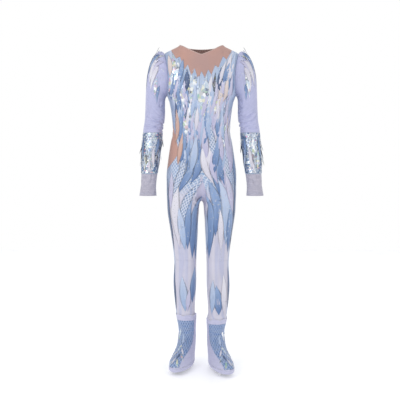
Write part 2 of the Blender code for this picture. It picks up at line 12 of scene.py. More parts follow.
import bpy
import numpy as np
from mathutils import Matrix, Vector


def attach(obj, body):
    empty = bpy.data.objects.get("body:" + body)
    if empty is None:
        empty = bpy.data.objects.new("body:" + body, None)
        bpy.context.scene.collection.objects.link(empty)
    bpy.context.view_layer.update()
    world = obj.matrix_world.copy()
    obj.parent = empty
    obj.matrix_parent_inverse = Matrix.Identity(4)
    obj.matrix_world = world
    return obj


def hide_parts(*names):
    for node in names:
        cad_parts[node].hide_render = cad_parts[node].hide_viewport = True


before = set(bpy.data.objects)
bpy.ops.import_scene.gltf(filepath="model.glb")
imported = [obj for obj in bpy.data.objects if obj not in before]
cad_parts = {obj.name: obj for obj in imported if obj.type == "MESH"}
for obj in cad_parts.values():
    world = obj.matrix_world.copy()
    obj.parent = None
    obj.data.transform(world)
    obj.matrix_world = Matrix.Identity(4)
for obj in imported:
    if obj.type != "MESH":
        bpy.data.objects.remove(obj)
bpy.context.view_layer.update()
RANDOM = np.random.default_rng(41)
print("frame loaded:", len(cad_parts), "solids")

# %% [markdown]
# ## View and light
#
# The photograph was taken level with the waist from about three metres, on a plain white ground.
# The lens is long and hardly tilted, so shoulders and feet keep their true proportions.
# Wide area lamps and a white sweep give soft light: a small hard lamp would burn out the foil.

# %% Camera, lamps and floor
CAMERA_PLACE = Vector((-0.0065, -3.10, -0.50))
CAMERA_AIM = Vector((-0.0065, 0.0, -0.6855))
LENS_MM = 61.0
LAMP_AIM = Vector((0, 0, -0.65))
LAMPS = {
    "key": ((-1.9, -2.3, 1.2), 1.3, 21),
    "fill": ((2.2, -2.2, 0.4), 2.2, 5),
    "rim": ((0.6, 2.4, 1.2), 2.0, 12),
}
SWEEP = [(0.30, (1.0, 1.0, 1.0, 1.0)), (0.65, (0.74, 0.75, 0.77, 1.0))]
FLOOR_Z, HALF_FLOOR = -1.453, 4.0


def put(name, data, place=(0, 0, 0), aim=None):
    """A new object in the scene, turned toward a point where one is given."""
    item = bpy.data.objects.new(name, data)
    item.location = place
    if aim is not None:
        item.rotation_euler = (aim - item.location).to_track_quat("-Z", "Y").to_euler()
    bpy.context.scene.collection.objects.link(item)
    return item


camera = put("photo_view", bpy.data.cameras.new("photo_view"), CAMERA_PLACE, CAMERA_AIM)
camera.data.lens = LENS_MM
bpy.context.scene.camera = camera
for name, (place, size, power) in LAMPS.items():
    lamp = put(name, bpy.data.lights.new(name, "AREA"), place, LAMP_AIM)
    lamp.data.energy = power
    lamp.data.size = size

world = bpy.data.worlds.new("studio")
world.use_nodes = True
nodes, links = world.node_tree.nodes, world.node_tree.links
direction, split, sweep = (nodes.new(kind) for kind in (
    "ShaderNodeTexCoord", "ShaderNodeSeparateXYZ", "ShaderNodeValToRGB"))
for element, (position, colour) in zip(sweep.color_ramp.elements, SWEEP):
    element.position = position
    element.color = colour
links.new(direction.outputs["Generated"], split.inputs[0])
links.new(split.outputs[2], sweep.inputs[0])
links.new(sweep.outputs[0], nodes["Background"].inputs["Color"])
bpy.context.scene.world = world
bpy.context.scene.view_settings.view_transform = "Standard"

floor_mesh = bpy.data.meshes.new("floor")
floor_corners = [(HALF_FLOOR * x, HALF_FLOOR * y, FLOOR_Z) for x, y in ((-1, -1), (1, -1), (1, 1), (-1, 1))]
floor_mesh.from_pydata(floor_corners, [], [(0, 1, 2, 3)])
put("floor", floor_mesh)
print("camera, lamps and floor:", len(LAMPS), "lamps")

# %% [markdown]
# ## The sizes of the garment
#
# A pattern maker notes sizes at a few heights, and the cloth runs smoothly between them.
# The tables below are those notes, in metres: the trunk and legs, the arm, and the boot cover.
# They are the ones that the solids were built from, so that the dressed cloth lies on the same form.

# %% A table that is smooth between its rows
class Sizes:
    """Named columns of sizes, read for whole arrays of heights or rings at once."""

    def __init__(self, columns, rows):
        self.columns = columns.split()
        self.rows = np.array(sorted(rows), float)

    def __call__(self, column, key):
        keys, values = self.rows[:, 0], self.rows[:, self.columns.index(column)]
        key = np.clip(np.asarray(key, float), keys[0], keys[-1])
        slopes = np.empty(len(keys))
        slopes[1:-1] = (values[2:] - values[:-2]) / (keys[2:] - keys[:-2])
        slopes[0] = (values[1] - values[0]) / (keys[1] - keys[0])
        slopes[-1] = (values[-1] - values[-2]) / (keys[-1] - keys[-2])
        i = np.clip(np.searchsorted(keys, key, side="right") - 1, 0, len(keys) - 2)
        span = keys[i + 1] - keys[i]
        t = (key - keys[i]) / span
        return ((2 * t ** 3 - 3 * t ** 2 + 1) * values[i]
                + (t ** 3 - 2 * t ** 2 + t) * span * slopes[i]
                + (3 * t ** 2 - 2 * t ** 3) * values[i + 1]
                + (t ** 3 - t ** 2) * span * slopes[i + 1])


# %% Sizes of trunk and legs: outer side, y of front and back, centre of the oval, y of the side seam
BODY = Sizes("z side front back hub seam", [
    (0.020, 0.168, -0.036, 0.050, 0.0, 0.004),
    (-0.034, 0.168, -0.060, 0.080, 0.0, 0.004),
    (-0.080, 0.166, -0.080, 0.096, 0.0, 0.004),
    (-0.140, 0.162, -0.104, 0.107, 0.0, 0.004),
    (-0.212, 0.1555, -0.112, 0.104, 0.0, 0.004),
    (-0.244, 0.1440, -0.107, 0.098, 0.0, 0.003),
    (-0.290, 0.1365, -0.098, 0.088, 0.0, 0.002),
    (-0.336, 0.1315, -0.090, 0.079, 0.0, 0.0),
    (-0.382, 0.1315, -0.085, 0.075, 0.0, 0.0),
    (-0.428, 0.1400, -0.086, 0.085, 0.0, 0.0),
    (-0.474, 0.1475, -0.090, 0.099, 0.0, 0.002),
    (-0.520, 0.1540, -0.093, 0.111, 0.002, 0.004),
    (-0.566, 0.1590, -0.093, 0.118, 0.014, 0.005),
    (-0.612, 0.1590, -0.090, 0.118, 0.042, 0.006),
    (-0.658, 0.1585, -0.087, 0.110, 0.066, 0.006),
    (-0.700, 0.1565, -0.085, 0.099, 0.079, 0.005),
    (-0.745, 0.1540, -0.082, 0.091, 0.083, 0.004),
    (-0.842, 0.1390, -0.070, 0.078, 0.0785, 0.0),
    (-0.957, 0.1250, -0.060, 0.054, 0.0740, -0.004),
    (-1.072, 0.1280, -0.051, 0.068, 0.0760, 0.002),
    (-1.187, 0.1195, -0.040, 0.058, 0.0750, 0.010),
    (-1.240, 0.1110, -0.032, 0.052, 0.0695, 0.012),
])
# Height of the shoulder line by distance from the centre; inside the neck it only fades the roll
RIDGE = Sizes("x z", [
    (0.0, 0.250), (0.060, 0.090), (0.080, 0.045), (0.0995, 0.015), (0.131, -0.003),
    (0.150, -0.012), (0.168, -0.022),
])
WALL, SEAM, ZIGZAG_SEAM, ARMHOLE_SEAM, NOTCH = 0.0015, 0.0003, 0.0012, 0.0004, 0.0004
PIECE_TURN = 0.13
SQUARE_TORSO, SQUARE_LEG, TORSO_ENDS, LEG_STARTS = 2.4, 2.05, -0.50, -0.75
SHOULDER_HALF_WIDTH, SHOULDER_ROLL = 0.168, 0.060
NECK_HALF_WIDTH, NECK_POINT, NECK_FRONT, NECK_BACK = 0.0995, 0.015, -0.034, 0.004
YOKE_HALF_WIDTH, YOKE_END_DROP, BACK_YOKE_LOW = 0.137, 0.0035, -0.105
UPPER_CHEST, KNEE, SHIN_HEM = -0.270, -0.957, -1.240
LEFT_FOOT_FORWARD, LEAN_FROM, LEAN_RUN, ANKLE = 0.030, -0.70, 0.45, -1.2
LEFT_COLLAR_DROP, COLLAR_DROP_RINGS = 0.014, 3
TOE_OUT, BOOT_SETBACK = math.radians(17.0), 0.010

# %% Sizes of gusset (edge in degrees of turn), inset (in shares of a quarter turn) and yoke edge
CROTCH_ROWS = [-0.572, -0.600, -0.640, -0.680, -0.715, -0.745]
GUSSET_ROWS, GUSSET_TIP_SPREAD = 5, 0.5
GUSSET_EDGE = Sizes("z front back", [
    (-0.572, 93.8, 93.8), (-0.600, 100.0, 101.0), (-0.640, 110.0, 112.0),
    (-0.680, 125.0, 129.0), (-0.715, 147.0, 150.0), (-0.745, 180.0, 180.0),
])
GUSSET_MIDDLE = Sizes("row y z", [
    (-5, -0.0925, -0.572), (-4, -0.0885, -0.599), (-3, -0.0740, -0.636), (-2, -0.0540, -0.665),
    (-1, -0.0270, -0.684), (0, 0.0050, -0.690), (1, 0.0360, -0.683), (2, 0.0690, -0.664),
    (3, 0.0970, -0.634), (4, 0.1130, -0.599), (5, 0.1175, -0.572),
])
INSET_TOP, INSET_LOW = -0.300, -0.556
INSET = Sizes("z reach", [
    (-0.300, 0.030), (-0.336, 0.130), (-0.382, 0.290), (-0.428, 0.470), (-0.474, 0.530),
    (-0.520, 0.340), (-0.556, 0.030),
])
ZIGZAG_X = [0.137, 0.128, 0.119, 0.0995, 0.083, 0.066, 0.0495, 0.033, 0.0165, 0.0]
ZIGZAG = {
    -1: [-0.009, -0.029, -0.052, -0.044, -0.104, -0.080, -0.136, -0.098, -0.150, -0.112],
    1: [-0.009, -0.032, -0.058, -0.042, -0.096, -0.084, -0.128, -0.104, -0.142, -0.112],
}

# %% Sizes of the arm: inner and outer end of each ring, half depth, y, forward scoop, height of the gathers
ARM = Sizes("ring inner_x inner_z outer_x outer_z depth y scoop gather", [
    (0, 0.1560, -0.2130, 0.1680, -0.0220, 0.0620, 0.004, 0.012, 0.0),
    (1, 0.1590, -0.2150, 0.1770, -0.0150, 0.0645, 0.004, 0.008, 0.0022),
    (2, 0.1610, -0.2180, 0.1930, -0.0165, 0.0645, 0.004, 0.004, 0.0026),
    (3, 0.1630, -0.2230, 0.2115, -0.0310, 0.0625, 0.004, 0.001, 0.0022),
    (4, 0.1645, -0.2300, 0.2275, -0.0570, 0.0600, 0.004, 0.0, 0.0015),
    (5, 0.1655, -0.2410, 0.2390, -0.0900, 0.0570, 0.004, 0.0, 0.0008),
    (6, 0.1655, -0.2570, 0.2470, -0.1300, 0.0545, 0.004, 0.0, 0.0),
    (7, 0.1655, -0.2850, 0.2520, -0.1900, 0.0515, 0.005, 0.0, 0.0),
    (8, 0.1670, -0.3150, 0.2548, -0.2600, 0.0495, 0.006, 0.0, 0.0),
    (9, 0.1715, -0.3480, 0.2580, -0.3200, 0.0480, 0.007, 0.0, 0.0),
    (10, 0.1755, -0.3660, 0.2640, -0.3560, 0.0475, 0.008, 0.0, 0.0),
    (11, 0.1775, -0.3790, 0.2665, -0.3790, 0.0460, 0.008, 0.0, 0.0),
    (12, 0.1815, -0.4280, 0.2690, -0.4280, 0.0445, 0.003, 0.0, 0.0),
    (13, 0.1895, -0.4740, 0.2720, -0.4740, 0.0425, -0.004, 0.0, 0.0),
    (14, 0.1930, -0.5200, 0.2730, -0.5200, 0.0405, -0.013, 0.0, 0.0),
    (15, 0.2000, -0.5660, 0.2725, -0.5660, 0.0365, -0.022, 0.0, 0.0),
    (16, 0.2050, -0.6120, 0.2740, -0.6120, 0.0340, -0.031, 0.0, 0.0),
    (17, 0.2050, -0.6400, 0.2770, -0.6400, 0.0350, -0.036, 0.0, 0.0),
    (18, 0.2030, -0.6620, 0.2805, -0.6620, 0.0375, -0.040, 0.0, 0.0),
])
BAND_FROM, CUFF_FROM, CUFF_TO = 11.0, 15.0, 18.0
GATHER_WAVES, GATHER_HALF_TURN, GATHER_FADE = 16, 130, 60

# %% Sizes of the boot cover: heel and toe ends of each ring, half width, hub and narrowing to the toe
BOOT = Sizes("ring heel heel_z toe toe_z half hub taper", [
    (0, -0.0530, -1.212, 0.0490, -1.206, 0.0475, 0.0715, 0.0),
    (1, -0.0500, -1.242, 0.0450, -1.238, 0.0450, 0.0695, 0.0),
    (2, -0.0470, -1.278, 0.0430, -1.270, 0.0405, 0.0670, 0.0),
    (3, -0.0460, -1.314, 0.0455, -1.298, 0.0395, 0.0655, 0.0),
    (4, -0.0480, -1.346, 0.0570, -1.322, 0.0395, 0.0650, 0.02),
    (5, -0.0510, -1.372, 0.0800, -1.344, 0.0400, 0.0650, 0.06),
    (6, -0.0535, -1.392, 0.1110, -1.366, 0.0410, 0.0650, 0.10),
    (7, -0.0550, -1.408, 0.1480, -1.380, 0.0430, 0.0650, 0.13),
    (8, -0.0555, -1.420, 0.1770, -1.395, 0.0455, 0.0650, 0.15),
    (9, -0.0550, -1.428, 0.1900, -1.414, 0.0465, 0.0650, 0.16),
    (10, -0.0520, -1.4335, 0.1920, -1.4315, 0.0460, 0.0650, 0.16),
    (11, -0.0460, -1.4350, 0.1850, -1.4350, 0.0400, 0.0650, 0.16),
    (12, -0.0350, -1.4352, 0.1720, -1.4352, 0.0290, 0.0650, 0.16),
])
BOOT_PANEL = Sizes("ring back front", [
    (1, 222.0, 288.0), (3, 218.0, 290.0), (5, 212.0, 304.0), (7, 207.0, 326.0), (9, 204.0, 338.0),
])
COLLAR_TO, SOLE_BAND_FROM, SOLE_TO, SCALLOPS = 1.0, 9.0, 12.0, 6
print("size tables: trunk", len(BODY.rows), "arm", len(ARM.rows), "boot cover", len(BOOT.rows))

# %% [markdown]
# ## Three skins
#
# Every piece is cut from one of three continuous skins: trunk and legs, arm, boot cover.
# A skin is a function that turns two numbers, a turn round the limb and a height or ring, into a place.
# Neighbours that share a skin meet exactly at their seam, which no amount of hand fitting would give.

# %% Small helpers
def blend(a, b, t):
    return a * (1 - t) + b * t


def ease(t):
    t = np.clip(t, 0.0, 1.0)
    return t * t * (3 - 2 * t)


def signed_power(value, power):
    return np.copysign(np.abs(value) ** power, value)


def lean(side, z):
    """The wearer's left foot stands a little further forward."""
    return -LEFT_FOOT_FORWARD * ease((LEAN_FROM - z) / LEAN_RUN) if side > 0 else 0.0 * z


def squareness(z):
    share = np.clip((z - LEG_STARTS) / (TORSO_ENDS - LEG_STARTS), 0.0, 1.0)
    return blend(SQUARE_LEG, SQUARE_TORSO, share)


def armhole(z):
    low, high = ARM("inner_z", 0), ARM("outer_z", 0)
    t = np.clip((z - low) / (high - low), 0.0, 1.0)
    bulge = 2 * np.sqrt(t * (1 - t))
    x = blend(ARM("inner_x", 0), ARM("outer_x", 0), t) - ARM("scoop", 0) * bulge ** 2
    return x - ARMHOLE_SEAM, ARM("y", 0), ARM("depth", 0) * bulge


# %% Skin of trunk and legs: around is 0 at the side seam, -90 in front and 90 behind
def trunk_place(side, around, z, nudge=0.0):
    around, z = np.broadcast_arrays(np.asarray(around, float), np.asarray(z, float))
    face = np.where(around < 0, -1.0, 1.0)
    turn = np.radians(np.abs(around) + face * nudge)
    power = 2 / squareness(z)
    c, s = signed_power(np.cos(turn), power), signed_power(np.sin(turn), power)
    upper = z > ARM("inner_z", 0)
    hole_x, hole_y, hole_depth = armhole(z)
    outer = np.where(upper, hole_x, BODY("side", z))
    edge = np.where(upper, hole_y + face * (hole_depth + SEAM / 2), BODY("seam", z))
    ridge = RIDGE("z", np.abs(SHOULDER_HALF_WIDTH * c))
    climb = np.clip(1 + (z - ridge) / SHOULDER_ROLL, 0.0, 1.0)
    roll = np.where(upper, np.sqrt(1 - climb ** 2), 1.0)
    middle = np.where(face < 0, BODY("front", z), BODY("back", z))
    hub = BODY("hub", z)
    x = hub + (outer - hub) * c
    y = blend(edge, middle, s * roll) + lean(side, z)
    return np.stack([side * x, y, z], axis=-1)


# %% Skin of the arm: turn is 0 on its outer side and 90 in front, ring runs from armhole to hem
def arm_place(side, turn, ring, nudge=0.0):
    turn, ring = np.broadcast_arrays(np.asarray(turn, float) + nudge, np.asarray(ring, float))
    c, s = np.cos(np.radians(turn)), np.sin(np.radians(turn))
    middle_x = (ARM("inner_x", ring) + ARM("outer_x", ring)) / 2
    middle_z = (ARM("inner_z", ring) + ARM("outer_z", ring)) / 2
    across_x, across_z = ARM("outer_x", ring) - middle_x, ARM("outer_z", ring) - middle_z
    window = ease((GATHER_HALF_TURN - np.abs((turn + 180) % 360 - 180)) / GATHER_FADE)
    ripple = ARM("gather", ring) * window * np.cos(np.radians(GATHER_WAVES * turn))
    reach = 1 + ripple / np.hypot(across_x, across_z)
    x = middle_x + across_x * c * reach - ARM("scoop", ring) * s * s
    y = ARM("y", ring) - ARM("depth", ring) * s * reach
    return np.stack([side * x, y, middle_z + across_z * c * reach], axis=-1)


# %% Skin of the boot cover: turn is 0 at the toe, 90 outside and 180 at the heel
def boot_place(side, turn, ring, nudge=0.0):
    turn, ring = np.broadcast_arrays(np.asarray(turn, float) + nudge, np.asarray(ring, float))
    c, s = np.cos(np.radians(turn)), np.sin(np.radians(turn))
    middle = (BOOT("toe", ring) + BOOT("heel", ring)) / 2
    forward = middle + (BOOT("toe", ring) - middle) * c
    middle_z = (BOOT("toe_z", ring) + BOOT("heel_z", ring)) / 2
    z = middle_z + (BOOT("toe_z", ring) - middle_z) * c
    across = BOOT("half", ring) * (1 + BOOT("taper", ring) * c) * s
    x = BOOT("hub", ring) + across * math.cos(TOE_OUT) + forward * math.sin(TOE_OUT)
    y = BOOT_SETBACK - forward * math.cos(TOE_OUT) + across * math.sin(TOE_OUT)
    if side > 0:
        z = z - LEFT_COLLAR_DROP * ease(1 - ring / COLLAR_DROP_RINGS)
    return np.stack([side * x, y + lean(side, np.float64(ANKLE)), z], axis=-1)


# %% Skin of the shin: the leg, flared at its hem to lie inside the boot cover's collar
FLARE_FROM, FLARE_RUN, SHIN_GAP, HALVINGS = -1.200, 0.028, 0.0008, 18


def collar_ring(side, turn, z):
    """Ring of the boot cover that passes a height, found by halving."""
    above, below = np.zeros_like(z), np.full_like(z, float(COLLAR_DROP_RINGS))
    for _ in range(HALVINGS):
        middle = (above + below) / 2
        higher = boot_place(side, turn, middle)[..., 2] > z
        above, below = np.where(higher, middle, above), np.where(higher, below, middle)
    return above


def shin_place(side, around, z, nudge=0.0):
    around, z = np.broadcast_arrays(np.asarray(around, float), np.asarray(z, float))
    point = trunk_place(side, around, z, nudge)
    flare = ease((FLARE_FROM - z) / FLARE_RUN)[..., None]
    turn = 90 + around + nudge
    ring = collar_ring(side, turn, z)
    rim = boot_place(side, turn, ring)
    sideways = boot_place(side, turn, ring, 0.5) - boot_place(side, turn, ring, -0.5)
    down = boot_place(side, turn, ring + 0.01) - boot_place(side, turn, ring - 0.01)
    away = side * np.cross(down, sideways)
    away /= np.linalg.norm(away, axis=-1, keepdims=True)
    inside = rim - away * (WALL + SHIN_GAP)
    inside[..., 2] = z
    return blend(point, inside, flare)


# %% [markdown]
# ## Folds
#
# Stretch cloth folds where the body bends: at the underarm, elbow, groin, knee and ankle.
# Sculpting them would be lost at the next change of size. Here each fold is one row of a table,
# with its place, slant, length, width and depth, and the skin sinks or rises softly along it.

# %% Fold tables: turn, height, slant in degrees, length, width, depth, bow
TRUNK_FOLDS = [
    (-32, -0.246, -52, 0.070, 0.0065, -0.0022, 0.5), (-46, -0.262, -44, 0.086, 0.0075, -0.0018, 0.7),
    (-22, -0.272, -36, 0.060, 0.0060, -0.0015, -0.4), (30, -0.250, 48, 0.076, 0.0070, -0.0020, 0.4),
    (48, -0.275, 38, 0.090, 0.0080, -0.0016, -0.6), (-12, -0.372, 8, 0.075, 0.0070, -0.0014, 0.5),
    (16, -0.392, -7, 0.080, 0.0075, -0.0017, -0.5), (24, -0.352, -12, 0.066, 0.0065, -0.0011, 0.3),
    (66, -0.366, 5, 0.090, 0.0085, -0.0014, 0.4), (72, -0.398, -4, 0.074, 0.0075, -0.0012, -0.3),
    (-118, -0.664, 34, 0.084, 0.0070, -0.0024, 0.5), (-106, -0.632, 22, 0.070, 0.0065, -0.0016, 0.4),
    (-132, -0.700, 40, 0.066, 0.0065, -0.0021, -0.3), (-96, -0.690, 30, 0.056, 0.0055, -0.0013, 0.3),
    (112, -0.668, -24, 0.100, 0.0090, -0.0028, 0.6), (126, -0.702, -32, 0.076, 0.0080, -0.0020, 0.3),
    (96, -0.700, -14, 0.074, 0.0085, -0.0018, -0.4), (-90, -0.928, 6, 0.060, 0.0070, -0.0012, 0.5),
    (-96, -0.984, -5, 0.052, 0.0075, 0.0012, -0.4), (-70, -0.996, -12, 0.048, 0.0060, -0.0013, 0.4),
    (90, -0.934, 4, 0.096, 0.0065, -0.0026, -0.5), (98, -0.952, -6, 0.080, 0.0060, -0.0020, 0.4),
    (84, -0.972, 7, 0.088, 0.0065, -0.0024, 0.5), (-60, -1.150, 5, 0.056, 0.0060, -0.0012, 0.4),
    (-100, -1.172, -6, 0.070, 0.0060, -0.0016, -0.4), (-130, -1.140, 8, 0.050, 0.0055, -0.0011, 0.3),
    (80, -1.164, -4, 0.076, 0.0070, -0.0018, 0.4), (120, -1.184, 6, 0.060, 0.0060, -0.0014, -0.3),
]
ARM_FOLDS = [
    (96, -0.310, 10, 0.074, 0.0050, -0.0023, 0.9), (84, -0.330, -6, 0.086, 0.0046, -0.0030, 0.7),
    (100, -0.346, -12, 0.070, 0.0042, -0.0026, -0.5), (78, -0.360, 4, 0.080, 0.0040, -0.0022, 0.8),
    (88, -0.320, 3, 0.070, 0.0042, 0.0012, 0.8), (92, -0.353, -4, 0.064, 0.0040, 0.0011, 0.5),
    (178, -0.322, 7, 0.064, 0.0055, -0.0032, 0.4), (188, -0.342, -8, 0.056, 0.0048, -0.0028, -0.5),
    (172, -0.360, 5, 0.052, 0.0044, -0.0022, 0.3), (286, -0.338, -14, 0.060, 0.0060, -0.0016, 0.5),
    (262, -0.318, 12, 0.056, 0.0065, -0.0013, -0.4), (150, -0.212, 66, 0.070, 0.0060, -0.0026, 0.5),
    (130, -0.196, 74, 0.064, 0.0055, -0.0020, -0.4), (166, -0.236, 52, 0.060, 0.0060, -0.0022, 0.3),
    (214, -0.210, -62, 0.066, 0.0065, -0.0024, 0.4), (236, -0.190, -72, 0.060, 0.0060, -0.0018, -0.3),
    (110, -0.252, 60, 0.056, 0.0060, -0.0013, 0.3), (60, -0.420, 72, 0.060, 0.0050, -0.0010, 0.3),
    (140, -0.470, -66, 0.070, 0.0055, -0.0013, 0.3), (220, -0.440, 60, 0.064, 0.0060, -0.0013, 0.3),
    (70, -0.585, 78, 0.040, 0.0045, -0.0018, 0.2), (110, -0.592, 84, 0.046, 0.0040, -0.0020, 0.2),
    (150, -0.588, -80, 0.038, 0.0045, -0.0016, 0.2), (20, -0.590, -76, 0.044, 0.0045, -0.0017, 0.2),
    (250, -0.586, 80, 0.040, 0.0050, -0.0017, 0.2), (310, -0.592, -82, 0.042, 0.0045, -0.0016, 0.2),
    (82, -0.620, 38, 0.060, 0.0050, -0.0014, 0.4), (124, -0.634, 30, 0.050, 0.0050, -0.0012, -0.3),
    (246, -0.618, -35, 0.050, 0.0050, -0.0012, 0.3), (16, -0.628, -40, 0.048, 0.0050, -0.0013, 0.3),
    (60, -0.268, 14, 0.064, 0.0060, -0.0009, 0.4), (100, -0.286, -12, 0.070, 0.0055, -0.0010, 0.5),
]
BOOT_FOLDS = [
    (6, -0.050, 5, 0.050, 0.0042, -0.0017, 0.6), (-8, -0.074, -4, 0.062, 0.0045, -0.0024, 0.5),
    (4, -0.098, 6, 0.056, 0.0046, -0.0020, -0.5), (80, -0.082, -14, 0.050, 0.0050, -0.0015, 0.4),
    (-76, -0.086, 12, 0.048, 0.0050, -0.0015, -0.3), (180, -0.078, 3, 0.056, 0.0048, -0.0020, 0.5),
    (172, -0.060, -5, 0.044, 0.0042, -0.0014, -0.3), (40, -0.150, 32, 0.050, 0.0055, -0.0012, 0.4),
    (-40, -0.155, -30, 0.050, 0.0055, -0.0012, 0.4),
]
BOOT_RING_PITCH = 0.0265
TRUNK_STRENGTH, ARM_STRENGTH, BOOT_STRENGTH = 1.4, 2.1, 1.6
TRUNK_RADIUS, LIMB_RADIUS = 0.088, 0.045
STRAY_TURN, STRAY_HEIGHT, STRAY_SLANT, STRAY_DEPTH = 5, 0.004, 4, 0.22


def fold_depth(rows, side, turn, height, radius, gain):
    """Soft troughs and ridges at places on a skin. Each strays a little, unlike on each side."""
    total = np.zeros(np.broadcast(turn, height).shape)
    for count, (turn_0, height_0, slant, length, width, depth, bow) in enumerate(rows):
        stray = math.sin(7.3 * count + 2.1 * side)
        u = np.radians((turn - turn_0 - STRAY_TURN * stray + 180) % 360 - 180) * radius
        v = height - height_0 - STRAY_HEIGHT * math.sin(3.1 * count + side)
        angle = math.radians(slant + STRAY_SLANT * stray)
        c, s = math.cos(angle), math.sin(angle)
        along = u * c + v * s
        off = v * c - u * s - bow * along ** 2 / length
        strength = gain * depth * (1 + STRAY_DEPTH * stray)
        total += strength * np.exp(-(off / width) ** 2 - (2 * along / length) ** 4)
    return total


# %% One skin with its folds
CROTCH_TURN, CROTCH_FADE = 170, 12


class Skin:
    """A continuous surface of the garment. on() gives places on the folded cloth, lifted outward."""

    nudge = 0.05

    def __init__(self, side, place, folds, outward, step):
        self.side, self.bare, self.folds = side, place, folds
        self.outward, self.step = outward * side, step

    def tangents(self, a, b):
        """Change of place for one degree sideways, and for one unit of height or ring."""
        sideways = self.bare(self.side, a, b, self.nudge) - self.bare(self.side, a, b, -self.nudge)
        up = self.bare(self.side, a, b + self.step) - self.bare(self.side, a, b - self.step)
        return sideways / (2 * self.nudge), up / (2 * self.step)

    def normal(self, a, b):
        out = self.outward * np.cross(*self.tangents(a, b))
        return out / np.maximum(np.linalg.norm(out, axis=-1, keepdims=True), 1e-12)

    def on(self, a, b, lift=0.0):
        a, b = np.broadcast_arrays(np.asarray(a, float), np.asarray(b, float))
        rise = np.asarray(self.folds(self.side, a, b) + lift)
        return self.bare(self.side, a, b) + self.normal(a, b) * rise[..., None]


def trunk_folds(side, around, z):
    clear = ease((CROTCH_TURN - np.abs(around)) / CROTCH_FADE)
    return fold_depth(TRUNK_FOLDS, side, around, z, TRUNK_RADIUS, TRUNK_STRENGTH) * clear


def arm_metres(ring):
    return (ARM("inner_z", ring) + ARM("outer_z", ring)) / 2


def arm_folds(side, turn, ring):
    depth = fold_depth(ARM_FOLDS, side, turn, arm_metres(ring), LIMB_RADIUS, ARM_STRENGTH)
    return depth * ease(ring / 2)


def boot_metres(ring):
    return -ring * BOOT_RING_PITCH


def boot_folds(side, turn, ring):
    return fold_depth(BOOT_FOLDS, side, turn, boot_metres(ring), LIMB_RADIUS, BOOT_STRENGTH)


SIDES = (-1, 1)
TRUNK = {side: Skin(side, trunk_place, trunk_folds, 1, 1e-5) for side in SIDES}
ARMS = {side: Skin(side, arm_place, arm_folds, 1, 0.01) for side in SIDES}
BOOTS = {side: Skin(side, boot_place, boot_folds, -1, 0.01) for side in SIDES}
SHINS = {side: Skin(side, shin_place, trunk_folds, 1, 1e-5) for side in SIDES}
print("folds: trunk", len(TRUNK_FOLDS), "arm", len(ARM_FOLDS), "boot cover", len(BOOT_FOLDS))

# %% [markdown]
# ## From grid to cloth
#
# A cloth piece is a grid of places with a thin inner layer and rims, so that it is a closed sheet.
# Two UV maps go with it: one in metres for knit and nets, and one that says where on the body a
# point is, for ombre colours. Solidify could give the thickness, but here the rims stay on the seam.

# %% Grid to mesh
CLOTH = 0.0010
BODY_RADIUS, ARM_RADIUS, SHIN_RADIUS, BOOT_RADIUS = 0.09, 0.047, 0.055, 0.05
CREASE = math.radians(50)
MADE = {}


def word(side):
    return "right" if side < 0 else "left"


def half_name(face, side):
    return ("front_" if face < 0 else "back_") + word(side)


def signed_volume(points, quads):
    a, b, c, d = (points[quads[:, k]] for k in range(4))
    return float((np.einsum("ij,ij->i", a, np.cross(b, c))
                  + np.einsum("ij,ij->i", a, np.cross(c, d))).sum())


def mesh_object(name, points, faces, materials, maps=None, smooth=True):
    """A mesh object that rides on the garment's one body."""
    data = bpy.data.meshes.new(name)
    data.from_pydata(points.tolist(), [], faces if isinstance(faces, list) else faces.tolist())
    for label, values in (maps or {}).items():
        layer = data.uv_layers.new(name=label)
        layer.data.foreach_set("uv", np.asarray(values, np.float32).ravel())
    for material in materials:
        data.materials.append(material)
    if smooth:
        data.shade_smooth()
    piece = bpy.data.objects.new(name, data)
    bpy.context.scene.collection.objects.link(piece)
    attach(piece, "root")
    MADE[name] = piece
    return piece


def sew(name, skin, a, b, material, closed=False, radius=BODY_RADIUS, along=None):
    """A thin closed sheet on a skin, from grids of its two coordinates, in place of a solid."""
    sheet_of(name, skin.on(a, b), skin.normal(a, b), a, b, material, closed, radius, along)


def sheet_of(name, outer, normal, a, b, material, closed=False, radius=BODY_RADIUS, along=None):
    """The sheet and its rims. Each quad is four rows, four columns and four layers, 0 being outside."""
    rows, columns = a.shape
    spans = columns if closed else columns - 1
    points = np.concatenate([outer.reshape(-1, 3), (outer - normal * CLOTH).reshape(-1, 3)])
    i, j = (part[:, None] for part in np.divmod(np.arange((rows - 1) * spans), spans))
    up, across = np.array([0, 0, 1, 1]), np.array([0, 1, 1, 0])
    quads = [(i + up, j + across, 0), (i + up[::-1], j + across[::-1], 1)]
    spans_here, rows_here = np.arange(spans)[:, None], np.arange(rows - 1)[:, None]
    quads += [(row, spans_here + order, up) for row, order in ((0, 1 - across), (rows - 1, across))]
    if not closed:
        ends = ((0, across), (columns - 1, 1 - across))
        quads += [(rows_here + order, column, up) for column, order in ends]
    row_at, column_at, layer_at = (np.concatenate([np.broadcast_arrays(*quad)[k] for quad in quads])
                                   for k in range(3))
    faces = layer_at * rows * columns + row_at * columns + column_at % columns
    if signed_volume(points, faces) < 0:
        faces, row_at, column_at = faces[:, ::-1], row_at[:, ::-1], column_at[:, ::-1]
    if closed:
        a, b = np.hstack([a, a[:, :1] + 360]), np.hstack([b, b[:, :1]])
    cut = np.stack([np.radians(a) * radius, b if along is None else along(b)], axis=-1)
    spot = np.stack([a / 360, b], axis=-1)
    maps = {"cut": cut[row_at, column_at], "spot": spot[row_at, column_at]}
    piece = mesh_object("cloth_" + name, points, faces, [material], maps)
    piece.data.set_sharp_from_angle(angle=CREASE)
    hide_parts(name)
